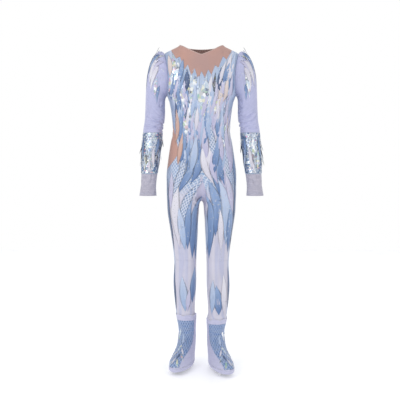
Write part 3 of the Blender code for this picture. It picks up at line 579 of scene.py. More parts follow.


# %% [markdown]
# ## Colour and surface
#
# Knit, net, streaks and foil facets are used in many places, so each is a node group, made once.
# A group only works out masks, colours and heights. The shader itself stays in each material, where
# its sheen and gloss are set, because those are the same all over one cloth.

# %% Helpers for node trees
FLOAT, VECTOR, COLOUR = "NodeSocketFloat", "NodeSocketVector", "NodeSocketColor"
GREYS = 3


def feed(tree, socket, value):
    """A number, a colour or another node's output into a socket."""
    if isinstance(value, (int, float)):
        socket.default_value = value
    elif isinstance(value, tuple):
        socket.default_value = (*value, 1.0)
    else:
        tree.links.new(value, socket)


def add(tree, kind, inputs=None, **settings):
    """A node with its settings, and values or links for some of its inputs."""
    node = tree.nodes.new(kind)
    for key, value in settings.items():
        setattr(node, key, value)
    for key, value in (inputs or {}).items():
        feed(tree, node.inputs[key], value)
    return node


def maths(tree, operation, *values):
    return add(tree, "ShaderNodeMath", dict(enumerate(values)), operation=operation).outputs[0]


def mix(tree, factor, first, second, mode="MIX"):
    return add(tree, "ShaderNodeMix", {0: factor, 6: first, 7: second}, data_type="RGBA",
               blend_type=mode).outputs[2]


def spread(tree, value, low, high, to_low=0.0, to_high=1.0, kind="LINEAR"):
    """A range mapped onto another range."""
    return add(tree, "ShaderNodeMapRange", {0: value, 1: low, 2: high, 3: to_low, 4: to_high},
               interpolation_type=kind).outputs[0]


def ramp(tree, factor, stops):
    """A colour ramp from (position, colour) pairs."""
    node = add(tree, "ShaderNodeValToRGB", {0: factor})
    while len(node.color_ramp.elements) < len(stops):
        node.color_ramp.elements.new(0.5)
    for element, (position, colour) in zip(node.color_ramp.elements, stops):
        element.position = position
        element.color = (*colour, 1.0)
    return node.outputs[0]


def parts_of(tree, vector):
    return add(tree, "ShaderNodeSeparateXYZ", {0: vector}).outputs


def grey(tree, value):
    return add(tree, "ShaderNodeCombineColor", dict.fromkeys(range(GREYS), value)).outputs[0]


def object_place(tree):
    return add(tree, "ShaderNodeTexCoord").outputs["Object"]


def uv(tree, label):
    return add(tree, "ShaderNodeUVMap", uv_map=label).outputs[0]


def use(tree, group, **values):
    return add(tree, "ShaderNodeGroup", values, node_tree=group).outputs


def new_group(name, takes, gives):
    """An empty node group with named inputs and outputs, each given as (name, kind, value)."""
    group = bpy.data.node_groups.new(name, "ShaderNodeTree")
    for label, kind, value in takes:
        socket = group.interface.new_socket(label, in_out="INPUT", socket_type=kind)
        if value is not None:
            socket.default_value = value
    for label, kind in gives:
        group.interface.new_socket(label, in_out="OUTPUT", socket_type=kind)
    return group, add(group, "NodeGroupInput").outputs, add(group, "NodeGroupOutput").inputs


# %% Knit: columns of small V stitches
def knit_group():
    group, takes, gives = new_group("knit", [("Vector", VECTOR, None), ("Pitch", FLOAT, 0.0012)],
                                    [("Height", FLOAT), ("Shade", FLOAT)])
    across, along, _ = parts_of(group, takes["Vector"])
    u = maths(group, "DIVIDE", across, takes["Pitch"])
    v = maths(group, "DIVIDE", along, takes["Pitch"])
    arm = maths(group, "ABSOLUTE", maths(group, "SUBTRACT", maths(group, "FRACT", u), 0.5))
    wave = maths(group, "SINE", maths(group, "MULTIPLY", maths(group, "ADD", v, arm), 2 * math.pi))
    lifted = maths(group, "ADD", maths(group, "MULTIPLY", wave, 0.5), 0.5)
    rounded = maths(group, "SUBTRACT", 1.0, maths(group, "MULTIPLY", arm, arm))
    height = maths(group, "MULTIPLY", lifted, rounded)
    feed(group, gives["Height"], height)
    feed(group, gives["Shade"], maths(group, "ADD", maths(group, "MULTIPLY", height, 0.12), 0.90))
    return group


# %% Net: crossing cords that leave diamonds, a little longer than they are wide
DIAMOND_LENGTH = 0.72


def net_group():
    group, takes, gives = new_group("diamond_net", [("Vector", VECTOR, None), ("Pitch", FLOAT, 0.009),
                                                    ("Cord", FLOAT, 0.16)], [("Mask", FLOAT)])
    u, v, _ = parts_of(group, takes["Vector"])
    across = maths(group, "DIVIDE", u, takes["Pitch"])
    along = maths(group, "DIVIDE", maths(group, "MULTIPLY", v, DIAMOND_LENGTH), takes["Pitch"])
    cords = []
    for operation in ("ADD", "SUBTRACT"):
        line = maths(group, "FRACT", maths(group, operation, across, along))
        off = maths(group, "ABSOLUTE", maths(group, "SUBTRACT", line, 0.5))
        cords.append(maths(group, "LESS_THAN", off, takes["Cord"]))
    feed(group, gives["Mask"], maths(group, "MAXIMUM", *cords))
    return group


# %% Streaks: long soft stripes that run down the body, broad ones and fine ones
def streak_group():
    group, takes, gives = new_group("icicle_streaks", [("Vector", VECTOR, None), ("Across", FLOAT, 16.0),
                                                       ("Along", FLOAT, 2.2)],
                                    [("Broad", FLOAT), ("Fine", FLOAT)])
    u, v, _ = parts_of(group, takes["Vector"])
    for label, times, detail in (("Broad", 1.0, 1.0), ("Fine", 4.5, 3.0)):
        wide = maths(group, "MULTIPLY", maths(group, "MULTIPLY", u, takes["Across"]), times)
        tall = maths(group, "MULTIPLY", maths(group, "MULTIPLY", v, takes["Along"]), times)
        join = add(group, "ShaderNodeCombineXYZ", {0: wide, 1: tall}).outputs[0]
        inputs = {"Vector": join, "Scale": 1.0, "Detail": detail}
        noise = add(group, "ShaderNodeTexNoise", inputs).outputs[0]
        feed(group, gives[label], spread(group, noise, 0.34, 0.66))
    return group


# %% Foil: flat facets, each with its own tint, partly the foil's own silver and blue, partly painted light: a painted rainbow flash and near-black and near-white painted glints
# Near-black and near-white stops are painted dark and bright glints; the yellow, green and pink stops paint
# the hologram's rainbow flash
FOIL_GLINT_TINTS = [(0.0, (0.56, 0.62, 0.70)), (0.30, (0.30, 0.44, 0.60)), (0.42, (0.90, 0.92, 0.95)),
              (0.56, (0.62, 0.60, 0.30)), (0.62, (0.26, 0.50, 0.42)), (0.68, (0.72, 0.40, 0.50)),
              (0.74, (0.24, 0.36, 0.66)), (0.84, (0.04, 0.05, 0.07)), (0.92, (0.95, 0.95, 0.97))]


def foil_group():
    group, takes, gives = new_group("foil_facets", [("Vector", VECTOR, None), ("Scale", FLOAT, 130.0)],
                                    [("Tint", COLOUR), ("Height", FLOAT)])
    cells = add(group, "ShaderNodeTexVoronoi", {"Vector": takes["Vector"], "Scale": takes["Scale"]}).outputs
    red, green, _ = add(group, "ShaderNodeSeparateColor", {0: cells["Color"]}).outputs
    # The facet colour out of this group carries the painted glints and painted rainbow flash
    feed(group, gives["Tint"], ramp(group, red, FOIL_GLINT_TINTS))
    feed(group, gives["Height"], maths(group, "MULTIPLY", cells["Distance"], green))
    return group


# %% Life: the faint unevenness of dye and handling
def life_group():
    group, takes, gives = new_group("dye_life", [("Color", COLOUR, None), ("Amount", FLOAT, 0.10)],
                                    [("Color", COLOUR), ("Worn", FLOAT)])
    noise = add(group, "ShaderNodeTexNoise", {"Vector": object_place(group), "Scale": 9.0, "Detail": 4.0})
    off = maths(group, "MULTIPLY", maths(group, "SUBTRACT", noise.outputs[0], 0.5), takes["Amount"])
    gain = maths(group, "ADD", maths(group, "MULTIPLY", off, 2.0), 1.0)
    feed(group, gives["Color"], mix(group, 1.0, takes["Color"], grey(group, gain), "MULTIPLY"))
    feed(group, gives["Worn"], noise.outputs[0])
    return group


KNIT, NET, STREAKS, FOIL, LIFE = knit_group(), net_group(), streak_group(), foil_group(), life_group()
print("node groups:", [group.name for group in bpy.data.node_groups])

# %% [markdown]
# ## The cloths
#
# Skating cloth is nylon with elastane: fine knit, a little sheen and soft highlights.
# Nude mesh, lavender jersey, ice print and net cloth differ in colour and knit, so one function
# finishes them all. The print's colours change with height and with the way round the body.

# %% Cloth material
def start_material(name, roughness, sheen=0.0, metallic=0.0):
    material = bpy.data.materials.new(name)
    material.use_nodes = True
    shader = material.node_tree.nodes["Principled BSDF"]
    shader.inputs["Roughness"].default_value = roughness
    shader.inputs["Metallic"].default_value = metallic
    shader.inputs["Sheen Weight"].default_value = sheen
    shader.inputs["Sheen Roughness"].default_value = 0.4
    return material, material.node_tree, shader.inputs


def bump(tree, shader, height, distance, strength):
    node = add(tree, "ShaderNodeBump", {"Height": height, "Distance": distance, "Strength": strength})
    feed(tree, shader["Normal"], node.outputs[0])


def give_life(tree, shader, colour, amount, rough):
    """Unevenness on a colour, and gloss that varies with it. Gives back the colour."""
    life = use(tree, LIFE, Color=colour, Amount=amount)
    feed(tree, shader["Roughness"], spread(tree, life["Worn"], 0.3, 0.7, *rough))
    return life["Color"]


def finish_cloth(tree, shader, colour, pitch, rough, relief=None):
    """Knit and life on top of a colour. A relief of its own takes the place of the knit's bump."""
    knit = use(tree, KNIT, Vector=uv(tree, "cut"), Pitch=pitch)
    living = give_life(tree, shader, colour, 0.10, rough)
    feed(tree, shader["Base Color"], mix(tree, 1.0, living, grey(tree, knit["Shade"]), "MULTIPLY"))
    bump(tree, shader, *(relief or (knit["Height"], 0.0002, 0.5)))


def jersey(name, light, dark, pitch=0.0011, sheen=0.25, rough=(0.52, 0.66)):
    """Plain dyed jersey with faint streaks between two tones of one dye."""
    material, tree, shader = start_material(name, rough[0], sheen)
    streaks = use(tree, STREAKS, Vector=uv(tree, "spot"), Across=9.0, Along=5.0)
    finish_cloth(tree, shader, mix(tree, streaks["Broad"], light, dark), pitch, rough)
    return material


SLEEVE_LAVENDER = jersey("sleeve_lavender", (0.490, 0.500, 0.715), (0.430, 0.450, 0.660))
GUSSET_LAVENDER = jersey("gusset_lavender", (0.560, 0.540, 0.680), (0.500, 0.490, 0.650))
BOOT_LAVENDER = jersey("boot_lavender", (0.560, 0.560, 0.730), (0.500, 0.500, 0.680))
CUFF_GREY = jersey("cuff_grey_lavender", (0.490, 0.470, 0.560), (0.400, 0.390, 0.480), 0.0013, 0.35,
                   (0.65, 0.8))
print("plain jerseys made")


# %% Nude mesh: holes show as darker points in skin-coloured cloth
def nude_mesh():
    material, tree, shader = start_material("nude_mesh", 0.6, 0.2)
    net = use(tree, NET, Vector=uv(tree, "cut"), Pitch=0.0017, Cord=0.30)
    streaks = use(tree, STREAKS, Vector=uv(tree, "spot"), Across=5.0, Along=6.0)
    base = mix(tree, streaks["Broad"], (0.550, 0.318, 0.262), (0.475, 0.302, 0.275))
    hole = mix(tree, 1.0, base, (0.84, 0.80, 0.78), "MULTIPLY")
    finish_cloth(tree, shader, mix(tree, net["Mask"], hole, base), 0.0017, (0.55, 0.7))
    return material


NUDE = nude_mesh()

# %% Ice print: pale torso, lattice at the hips, lavender-white knees, blue side seams
LEG_TONES = [(0.0, (0.600, 0.580, 0.675)), (0.6, (0.55, 0.535, 0.645)), (1.0, (0.47, 0.48, 0.64))]
STEEL = (0.230, 0.330, 0.520)
CHEST_TONES = [(0.0, (0.52, 0.58, 0.75)), (0.5, (0.430, 0.530, 0.705)), (0.8, (0.33, 0.44, 0.64)),
               (1.0, STEEL)]
LEG_TO_CHEST, LATTICE_LOW, LATTICE_HIGH = (-0.66, -0.54), (-0.69, -0.60), (-0.34, -0.43)
SEAM_STRIPE, STRIPE_STRAY, STRIPE_SHARE, FINE_SHARE = (0.085, 0.045), 0.03, 0.75, 0.22


def ice_print():
    material, tree, shader = start_material("ice_print", 0.42, 0.2)
    place = uv(tree, "spot")
    around, height, _ = parts_of(tree, place)
    streaks = use(tree, STREAKS, Vector=place, Across=15.0, Along=2.6)
    leg, chest = (ramp(tree, streaks["Broad"], tones) for tones in (LEG_TONES, CHEST_TONES))
    colour = mix(tree, spread(tree, height, *LEG_TO_CHEST, kind="SMOOTHSTEP"), leg, chest)
    net = use(tree, NET, Vector=uv(tree, "cut"), Pitch=0.0125, Cord=0.13)
    above, below = (spread(tree, height, *span, kind="SMOOTHSTEP") for span in (LATTICE_LOW, LATTICE_HIGH))
    lattice = mix(tree, net["Mask"], (0.24, 0.36, 0.57), (0.62, 0.67, 0.79))
    colour = mix(tree, maths(tree, "MULTIPLY", above, below), colour, lattice)
    stray = maths(tree, "MULTIPLY", streaks["Fine"], STRIPE_STRAY)
    seam = maths(tree, "ABSOLUTE", maths(tree, "ADD", around, stray))
    stripe = spread(tree, seam, *SEAM_STRIPE, kind="SMOOTHSTEP")
    colour = mix(tree, maths(tree, "MULTIPLY", stripe, STRIPE_SHARE), colour, STEEL)
    colour = mix(tree, maths(tree, "MULTIPLY", streaks["Fine"], FINE_SHARE), colour, (0.66, 0.68, 0.80))
    finish_cloth(tree, shader, colour, 0.0011, (0.38, 0.52))
    return material


ICE_PRINT = ice_print()


# %% Net cloth: pale cords over blue, for lattice leaves, forearm bands and boot covers
def net_cloth(name, cord, ground, pitch, width):
    material, tree, shader = start_material(name, 0.4, 0.15)
    net = use(tree, NET, Vector=uv(tree, "cut"), Pitch=pitch, Cord=width)
    streaks = use(tree, STREAKS, Vector=uv(tree, "spot"), Across=8.0, Along=3.0)
    paler = tuple(0.62 * channel + 0.16 for channel in ground)
    colour = mix(tree, net["Mask"], mix(tree, streaks["Broad"], ground, paler), cord)
    finish_cloth(tree, shader, colour, 0.0012, (0.36, 0.5), (net["Mask"], 0.0005, 0.7))
    return material


LATTICE = net_cloth("lattice_cloth", (0.64, 0.68, 0.80), (0.200, 0.310, 0.530), 0.0130, 0.14)
BOOT_LATTICE = net_cloth("boot_lattice", (0.33, 0.43, 0.66), (0.105, 0.190, 0.400), 0.0135, 0.13)
BAND_NET = net_cloth("band_net", (0.55, 0.63, 0.76), (0.130, 0.200, 0.350), 0.0075, 0.13)
print("printed, nude and net cloths made")

# %% [markdown]
# ## Leaf cloths and foils
#
# The laid-on leaves are satin with an ombre from root to tip, or thin foil with a rainbow flash.
# Real hologram foil bends light in fine grooves. Here that flash is painted: facets with their own tints,
# among them near-black and near-white painted glints, give the same sparkle at the size it is seen here,
# and each facet is also tipped by geometry, so highlights break up.

# %% Satin ombre and foil
def satin(name, root, tip, rough=0.34):
    material, tree, shader = start_material(name, rough, 0.15)
    length = parts_of(tree, uv(tree, "leaf"))[1]
    streaks = use(tree, STREAKS, Vector=uv(tree, "leaf"), Across=3.0, Along=0.6)
    along = maths(tree, "ADD", length, maths(tree, "MULTIPLY", streaks["Broad"], 0.25))
    finish_cloth(tree, shader, ramp(tree, along, [(0.15, root), (1.05, tip)]), 0.0009,
                 (rough - 0.04, rough + 0.10))
    return material


def foil(name, tint, scale, rough, metallic, strength):
    """Foil whose facets mix painted light into one main tint: a painted rainbow flash and dark and bright
    painted glints.
    """
    material, tree, shader = start_material(name, rough, 0.0, metallic)
    facets = use(tree, FOIL, Vector=object_place(tree), Scale=scale)
    # strength is the share of painted glints and painted rainbow flash laid over the foil's own tint
    colour = mix(tree, strength, tint, facets["Tint"])
    feed(tree, shader["Base Color"], give_life(tree, shader, colour, 0.12, (rough - 0.08, rough + 0.12)))
    bump(tree, shader, facets["Height"], 0.0012, 0.8)
    return material


LEAF_CLOTHS = {
    "silver": foil("silver_foil", (0.70, 0.75, 0.82), 80.0, 0.22, 0.55, 0.78),
    "ice": satin("ice_satin", (0.31, 0.42, 0.63), (0.50, 0.58, 0.75)),
    "blue": satin("mid_blue_satin", (0.105, 0.190, 0.400), (0.27, 0.38, 0.60)),
    "navy": satin("navy_satin", (0.045, 0.075, 0.165), (0.11, 0.17, 0.32)),
    "lilac": satin("lilac_satin", (0.46, 0.45, 0.64), (0.59, 0.58, 0.73)),
    "white": satin("white_satin", (0.61, 0.59, 0.69), (0.74, 0.73, 0.80)),
    "lattice": LATTICE,
    "nude": satin("nude_satin", (0.52, 0.31, 0.25), (0.62, 0.42, 0.36)),
    "dark": foil("dark_foil", (0.05, 0.06, 0.09), 95.0, 0.18, 0.8, 0.22),
    "cream": satin("cream_satin", (0.60, 0.50, 0.48), (0.72, 0.64, 0.62)),
}
FOILS = ("silver", "dark")
print("leaf cloths:", list(LEAF_CLOTHS))

# %% [markdown]
# ## Body, yokes, inset and gusset
#
# Front and back are each one length from shoulder to knee. The chest rows climb round the armhole,
# and the top follows the zigzag of the nude yoke. The gusset spreads under the crotch, where four
# seams would otherwise meet in one sore point.

# %% Where each trunk piece begins and ends
YOKE_STEPS, YOKE_ROWS = 4, 19


def turn_at_x(x, z):
    hub, square = BODY("hub", z), squareness(z)
    outer = SHOULDER_HALF_WIDTH if z > UPPER_CHEST else BODY("side", z)
    share = (x - hub) / (outer - hub)
    return math.degrees(math.acos(math.copysign(abs(share) ** (square / 2), share)))


def seam_turn(face, z):
    depth = abs(BODY("front" if face < 0 else "back", z))
    return math.degrees(math.asin((SEAM / 2 / depth) ** (squareness(z) / 2)))


def piece_start(side, face, z):
    if z > ARM("inner_z", 0):
        return 0.0
    if side < 0 and face < 0 and INSET_LOW - NOTCH <= z <= INSET_TOP + NOTCH:
        return 90 * float(INSET("reach", z)) + PIECE_TURN
    return seam_turn(face, z)


def piece_end(face, z):
    if z > CROTCH_ROWS[0] + NOTCH:
        return turn_at_x(SEAM / 2, z)
    if z > CROTCH_ROWS[-1]:
        return float(GUSSET_EDGE("front" if face < 0 else "back", z)) - PIECE_TURN
    return 180 - seam_turn(face, z)


def neckline(face, x):
    share = abs(x) / NECK_HALF_WIDTH
    if face < 0:
        return blend(NECK_FRONT, NECK_POINT, share ** 1.25)
    return blend(NECK_BACK, NECK_POINT, share ** 2)


def yoke_top(face, x):
    return neckline(face, x) if x < NECK_HALF_WIDTH else float(RIDGE("z", x))


def yoke_low(side, face, x):
    if face < 0:
        return float(np.interp(x, ZIGZAG_X[::-1], ZIGZAG[side][::-1]))
    end = float(RIDGE("z", YOKE_HALF_WIDTH)) - YOKE_END_DROP
    return blend(BACK_YOKE_LOW, end, (x / YOKE_HALF_WIDTH) ** 3)


def yoke_columns():
    """Distances from the centre, outermost first, that include every corner of the zigzag."""
    fine = [ZIGZAG_X[0]]
    for near, far in zip(ZIGZAG_X[1:], ZIGZAG_X):
        fine += list(np.linspace(far, near, YOKE_STEPS + 1)[1:])
    return fine


# %% Fronts and backs
SHOULDER_SHARE, SHOULDER_COLUMNS, CORNER_COLUMNS, CORNER_GAP = 0.25, 9, 5, 0.0014
ROW_PITCH, CHEST_GAP, FIRST_CLIMB, ARMHOLE_ROWS, ARMHOLE_FOOT = 0.005, 0.002, 0.12, 49, 1e-4


def ridge_over(turn):
    """Height of the shoulder line over a turn of the skin."""
    return float(RIDGE("z", SHOULDER_HALF_WIDTH * math.cos(math.radians(turn)) ** (2 / SQUARE_TORSO)))


def trunk_grid(side, face):
    """Turns and heights of one front or back, from knee to shoulder."""
    turns = list(90 * np.linspace(0.0, SHOULDER_SHARE, SHOULDER_COLUMNS))
    corner = turn_at_x(YOKE_HALF_WIDTH + CORNER_GAP, 0)
    turns += list(np.linspace(turns[-1], corner, CORNER_COLUMNS)[1:])
    tops = [ridge_over(turn) for turn in turns]
    for x in yoke_columns():
        turns.append(turn_at_x(max(x, SEAM / 2), 0))
        tops.append(yoke_low(side, face, x) - ZIGZAG_SEAM)
    turns, tops = np.array(turns), np.array(tops)
    levels = list(np.arange(KNEE + SEAM / 2, UPPER_CHEST - CHEST_GAP, ROW_PITCH))
    levels += [CROTCH_ROWS[0] + 2 * NOTCH, CROTCH_ROWS[0] + NOTCH, CROTCH_ROWS[-1]]
    if side < 0 and face < 0:
        levels += [INSET_TOP + 2 * NOTCH, INSET_TOP + NOTCH, INSET_LOW - NOTCH, INSET_LOW - 2 * NOTCH]
    around, heights = [], []
    for z in sorted(levels):
        even = float(ease((UPPER_CHEST - z) / (UPPER_CHEST - CROTCH_ROWS[0])))
        share = blend(turns / turns[-1], np.linspace(0, 1, len(turns)), even)
        around.append(blend(piece_start(side, face, z), piece_end(face, z), share))
        heights.append(np.full(len(turns), z))
    low, high = float(ARM("inner_z", 0)) + ARMHOLE_FOOT, float(ARM("outer_z", 0))
    steps = [(1 - math.cos(math.radians(angle))) / 2 for angle in np.linspace(0, 180, ARMHOLE_ROWS)]
    climbs = [(blend(low, high, step) - UPPER_CHEST) / (high - UPPER_CHEST) for step in steps]
    for climb in [0.0, FIRST_CLIMB] + climbs:
        z = blend(UPPER_CHEST, tops, climb)
        row = turns.copy()
        row[0] = max(row[0], piece_start(side, face, float(z[0])))
        around.append(row)
        heights.append(z)
    return face * np.maximum(np.array(around), 1e-6), np.array(heights)


for side in SIDES:
    for face in (-1, 1):
        around, heights = trunk_grid(side, face)
        sew(half_name(face, side), TRUNK[side], around, heights, ICE_PRINT)
print("fronts and backs:", around.shape, "points in one grid")


# %% Yokes and side inset
def yoke(name, face):
    columns = yoke_columns()
    places = [(-1, x) for x in columns] + [(1, x) for x in reversed(columns[:-1])]
    climbs = 1 - (1 - np.linspace(0, 1, YOKE_ROWS)) ** 1.5
    turns = np.array([face * turn_at_x(x, 0) for _, x in places])
    heights = np.array([[blend(yoke_low(side, face, x), yoke_top(face, x), climb) for side, x in places]
                        for climb in climbs])
    is_right = np.array([side < 0 for side, _ in places])[:, None]
    points = np.where(is_right, TRUNK[-1].on(turns, heights), TRUNK[1].on(turns, heights))
    normals = np.where(is_right, TRUNK[-1].normal(turns, heights), TRUNK[1].normal(turns, heights))
    flat_turns = np.degrees([side * x / BODY_RADIUS for side, x in places]) + 0 * heights
    sheet_of(name, points, normals, flat_turns, heights, NUDE)


yoke("yoke_front", -1)
yoke("yoke_back", 1)
INSET_ROWS, INSET_COLUMNS = 53, 15
inset_z = np.linspace(INSET_TOP, INSET_LOW, INSET_ROWS)[:, None]
starts = np.array([[seam_turn(-1, z)] for z in inset_z[:, 0]])
ends = 90 * INSET("reach", inset_z) - PIECE_TURN
inset_around = -blend(starts, ends, np.linspace(0, 1, INSET_COLUMNS))
sew("side_inset", TRUNK[-1], inset_around, inset_z + 0 * inset_around, NUDE)
print("nude yokes and side inset sewn")


# %% Gusset
GUSSET_STEPS, GUSSET_LINES, GUSSET_FLAT_TURN, GUSSET_FLAT_HALF = 8, 61, 30, 0.2


def gusset_row(row):
    face = -1 if row <= 0 else 1
    z = float(np.interp(GUSSET_ROWS - abs(row), range(GUSSET_ROWS + 1), CROTCH_ROWS))
    turn = float(GUSSET_EDGE("front" if face < 0 else "back", z)) + PIECE_TURN
    if abs(row) < 1e-9:
        z, turn = z + 2 * NOTCH, 180.0
    middle = np.array([0, GUSSET_MIDDLE("y", row), GUSSET_MIDDLE("z", row)], float)
    spread_here = blend(1.0, GUSSET_TIP_SPREAD, abs(row) / GUSSET_ROWS)
    points = []
    for step in range(-GUSSET_STEPS, GUSSET_STEPS + 1):
        side = -1 if step < 0 else 1
        edge = trunk_place(side, face * min(turn, 180.0), z) + np.array([0, -lean(side, z), 0])
        corner = np.array([edge[0] * spread_here, middle[1], middle[2]])
        t = abs(step) / GUSSET_STEPS
        points.append(middle * (1 - t) ** 2 + corner * 2 * t * (1 - t) + edge * t ** 2)
    return points


grid = np.array([gusset_row(row) for row in np.linspace(-GUSSET_ROWS, GUSSET_ROWS, GUSSET_LINES)])
gusset_normal = np.cross(np.gradient(grid, axis=0), np.gradient(grid, axis=1))
gusset_normal /= np.linalg.norm(gusset_normal, axis=-1, keepdims=True)
flat_u, flat_v = np.meshgrid(np.linspace(-GUSSET_FLAT_TURN, GUSSET_FLAT_TURN, grid.shape[1]),
                             np.linspace(-GUSSET_FLAT_HALF, GUSSET_FLAT_HALF, grid.shape[0]))
sheet_of("gusset", grid, gusset_normal, flat_u, flat_v, GUSSET_LAVENDER)

# %% Shins
SHIN_ROWS, SHIN_COLUMNS = 64, 72
shin_levels = np.linspace(KNEE - SEAM / 2, SHIN_HEM, SHIN_ROWS)
shin_turns = np.linspace(-180, 180, SHIN_COLUMNS + 1)[:-1] + 1e-6
turns, heights = np.meshgrid(shin_turns, shin_levels)
for side in SIDES:
    sew("shin_" + word(side), SHINS[side], turns, heights, ICE_PRINT, True, SHIN_RADIUS)
print("gusset and shins sewn")


# %% [markdown]
# ## Sleeves, forearm bands and cuffs
#
# The sleeve cap is gathered, so its ripples are in the skin and die out before the elbow.
# The band is a stretch net that carries foil, and the cuff is a jersey tube that flares at its hem.

# %% Arm pieces
ARM_ROW_PITCH, ARM_MARKS, ARM_GAP = 0.0045, 400, 0.006
ARM_PIECES = [("sleeve_", 0.0, BAND_FROM - ARM_GAP, 128, SLEEVE_LAVENDER),
              ("band_", BAND_FROM, CUFF_FROM - ARM_GAP, 96, BAND_NET),
              ("cuff_", CUFF_FROM, CUFF_TO, 96, CUFF_GREY)]


def run_along(line):
    """Length run along a line of places, from its start to each place."""
    return np.concatenate([[0], np.cumsum(np.linalg.norm(np.diff(line, axis=0), axis=1))])


def arm_rings(first, last):
    """Rings between two, spaced by the cloth's length on the outer side."""
    marks = np.linspace(first, last, ARM_MARKS)
    run = run_along(arm_place(1, 0.0, marks))
    return np.interp(np.linspace(0, run[-1], int(run[-1] / ARM_ROW_PITCH) + 2), run, marks)


for side in SIDES:
    for name, first, last, columns, material in ARM_PIECES:
        turns, rings = np.meshgrid(np.arange(columns) * 360 / columns, arm_rings(first, last))
        sew(name + word(side), ARMS[side], turns, rings, material, True, ARM_RADIUS, arm_metres)
print("sleeves, bands and cuffs sewn")


# %% [markdown]
# ## Boot covers
#
# Boot covers pull over the skates, so that leg and foot read as one line. Each has a scalloped
# collar, an upper of net cloth, a plain inner panel and a band that turns under the open sole.

# %% Boot cover pieces
BOOT_GAP, SOLE_GAP, PANEL_GAP = 0.005, 0.03, 0.25
COLLAR_ROWS, UPPER_ROWS, UPPER_COLUMNS, PANEL_COLUMNS = 10, 60, 61, 25
SOLE_TURN = 10
COLLAR_DIP, SCALLOP_DEPTH, DIP_HALF_TURN = 0.12, 0.24, 15
ROUND = np.arange(120) * 3.0


def collar_rim(turn):
    """Ring of the scalloped edge, highest at the two side points."""
    lobe = np.abs(np.cos(np.radians(SCALLOPS / 2 * (turn - 90))))
    near = np.minimum(np.abs(turn - 90), np.abs(turn - 270))
    point = np.maximum(0, 1 - near / DIP_HALF_TURN)
    return COLLAR_DIP - COLLAR_DIP * point + SCALLOP_DEPTH * (1 - lobe)


def boot_pieces():
    """Name, turns, rings and cloth of the four pieces, the first two being closed rounds."""
    rings = blend(collar_rim(ROUND), COLLAR_TO - BOOT_GAP, np.linspace(0, 1, COLLAR_ROWS)[:, None])
    yield "boot_collar_", ROUND + 0 * rings, rings, BOOT_LAVENDER
    side_rings = np.linspace(SOLE_BAND_FROM + SOLE_GAP, SOLE_TURN, 5)
    rings = np.concatenate([side_rings, np.linspace(SOLE_TURN, SOLE_TO, 11)[1:]])
    yield "boot_band_", *np.meshgrid(ROUND, rings), BOOT_LAVENDER
    rings = np.linspace(COLLAR_TO + BOOT_GAP, SOLE_BAND_FROM - SOLE_GAP, UPPER_ROWS)[:, None]
    back, front = BOOT_PANEL("back", rings), BOOT_PANEL("front", rings)
    turns = blend(front - 360 + PANEL_GAP, back - PANEL_GAP, np.linspace(0, 1, UPPER_COLUMNS))
    yield "boot_upper_", turns, rings + 0 * turns, BOOT_LATTICE
    turns = blend(back + PANEL_GAP, front - PANEL_GAP, np.linspace(0, 1, PANEL_COLUMNS))
    yield "boot_panel_", turns, rings + 0 * turns, BOOT_LAVENDER


for side in SIDES:
    for name, turns, rings, material in boot_pieces():
        closed = name in ("boot_collar_", "boot_band_")
        sew(name + word(side), BOOTS[side], turns, rings, material, closed, BOOT_RADIUS, boot_metres)
print("boot covers sewn")


# %% [markdown]
# ## Laid-on leaves
#
# Leaves of satin, net and foil are glued flat and overlap like ice. This layout is a plain one:
# slim willow leaves in staggered rows that fan out from the waist, each row leaning the other way.
# A leaf is placed by its middle, and its points are mapped onto the skin, so it wraps the body.

# %% Leaves that wrap a skin
def local_to_skin(skin, a, b, across, along):
    """Skin coordinates of places given in metres sideways and along from a middle."""
    sideways, up = skin.tangents(a, b)
    rise = np.linalg.norm(up, axis=-1)
    slip = np.einsum("...k,...k->...", sideways, up) / rise
    width = np.sqrt(np.maximum(np.einsum("...k,...k->...", sideways, sideways) - slip ** 2, 1e-12))
    width, rise, slip = width[:, None, None], rise[:, None, None], slip[:, None, None]
    height = b[:, None, None] + along / rise - across * slip / (width * rise)
    return a[:, None, None] + across / width, height


LEAF_OFFSETS = np.array([-0.5, -0.25, 0.25, 0.5, 0.0])
LEAF_RISES = np.array([0.05, 0.8, 0.8, 0.05, 0.0])
TONE_STEP = 1.37


def pairs_round(ring):
    """Each point of a ring with the next, the last with the first."""
    return [(k, (k + 1) % ring) for k in range(ring)]


def tube_faces(first, rows, ring):
    """Quads between rows of points, each row being one ring, from the number of the first point."""
    return [[low + p, low + q, low + ring + q, low + ring + p]
            for low in range(first, first + (rows - 1) * ring, ring) for p, q in pairs_round(ring)]


def leaf_faces(stations, corners):
    """Faces of one leaf: bands between its stations, then a fan to each tip."""
    last = 1 + (stations - 1) * corners
    faces = tube_faces(1, stations, corners) + [[0, 1 + q, 1 + p] for p, q in pairs_round(corners)]
    return faces + [[last + p, last + q, last + corners] for p, q in pairs_round(corners)]


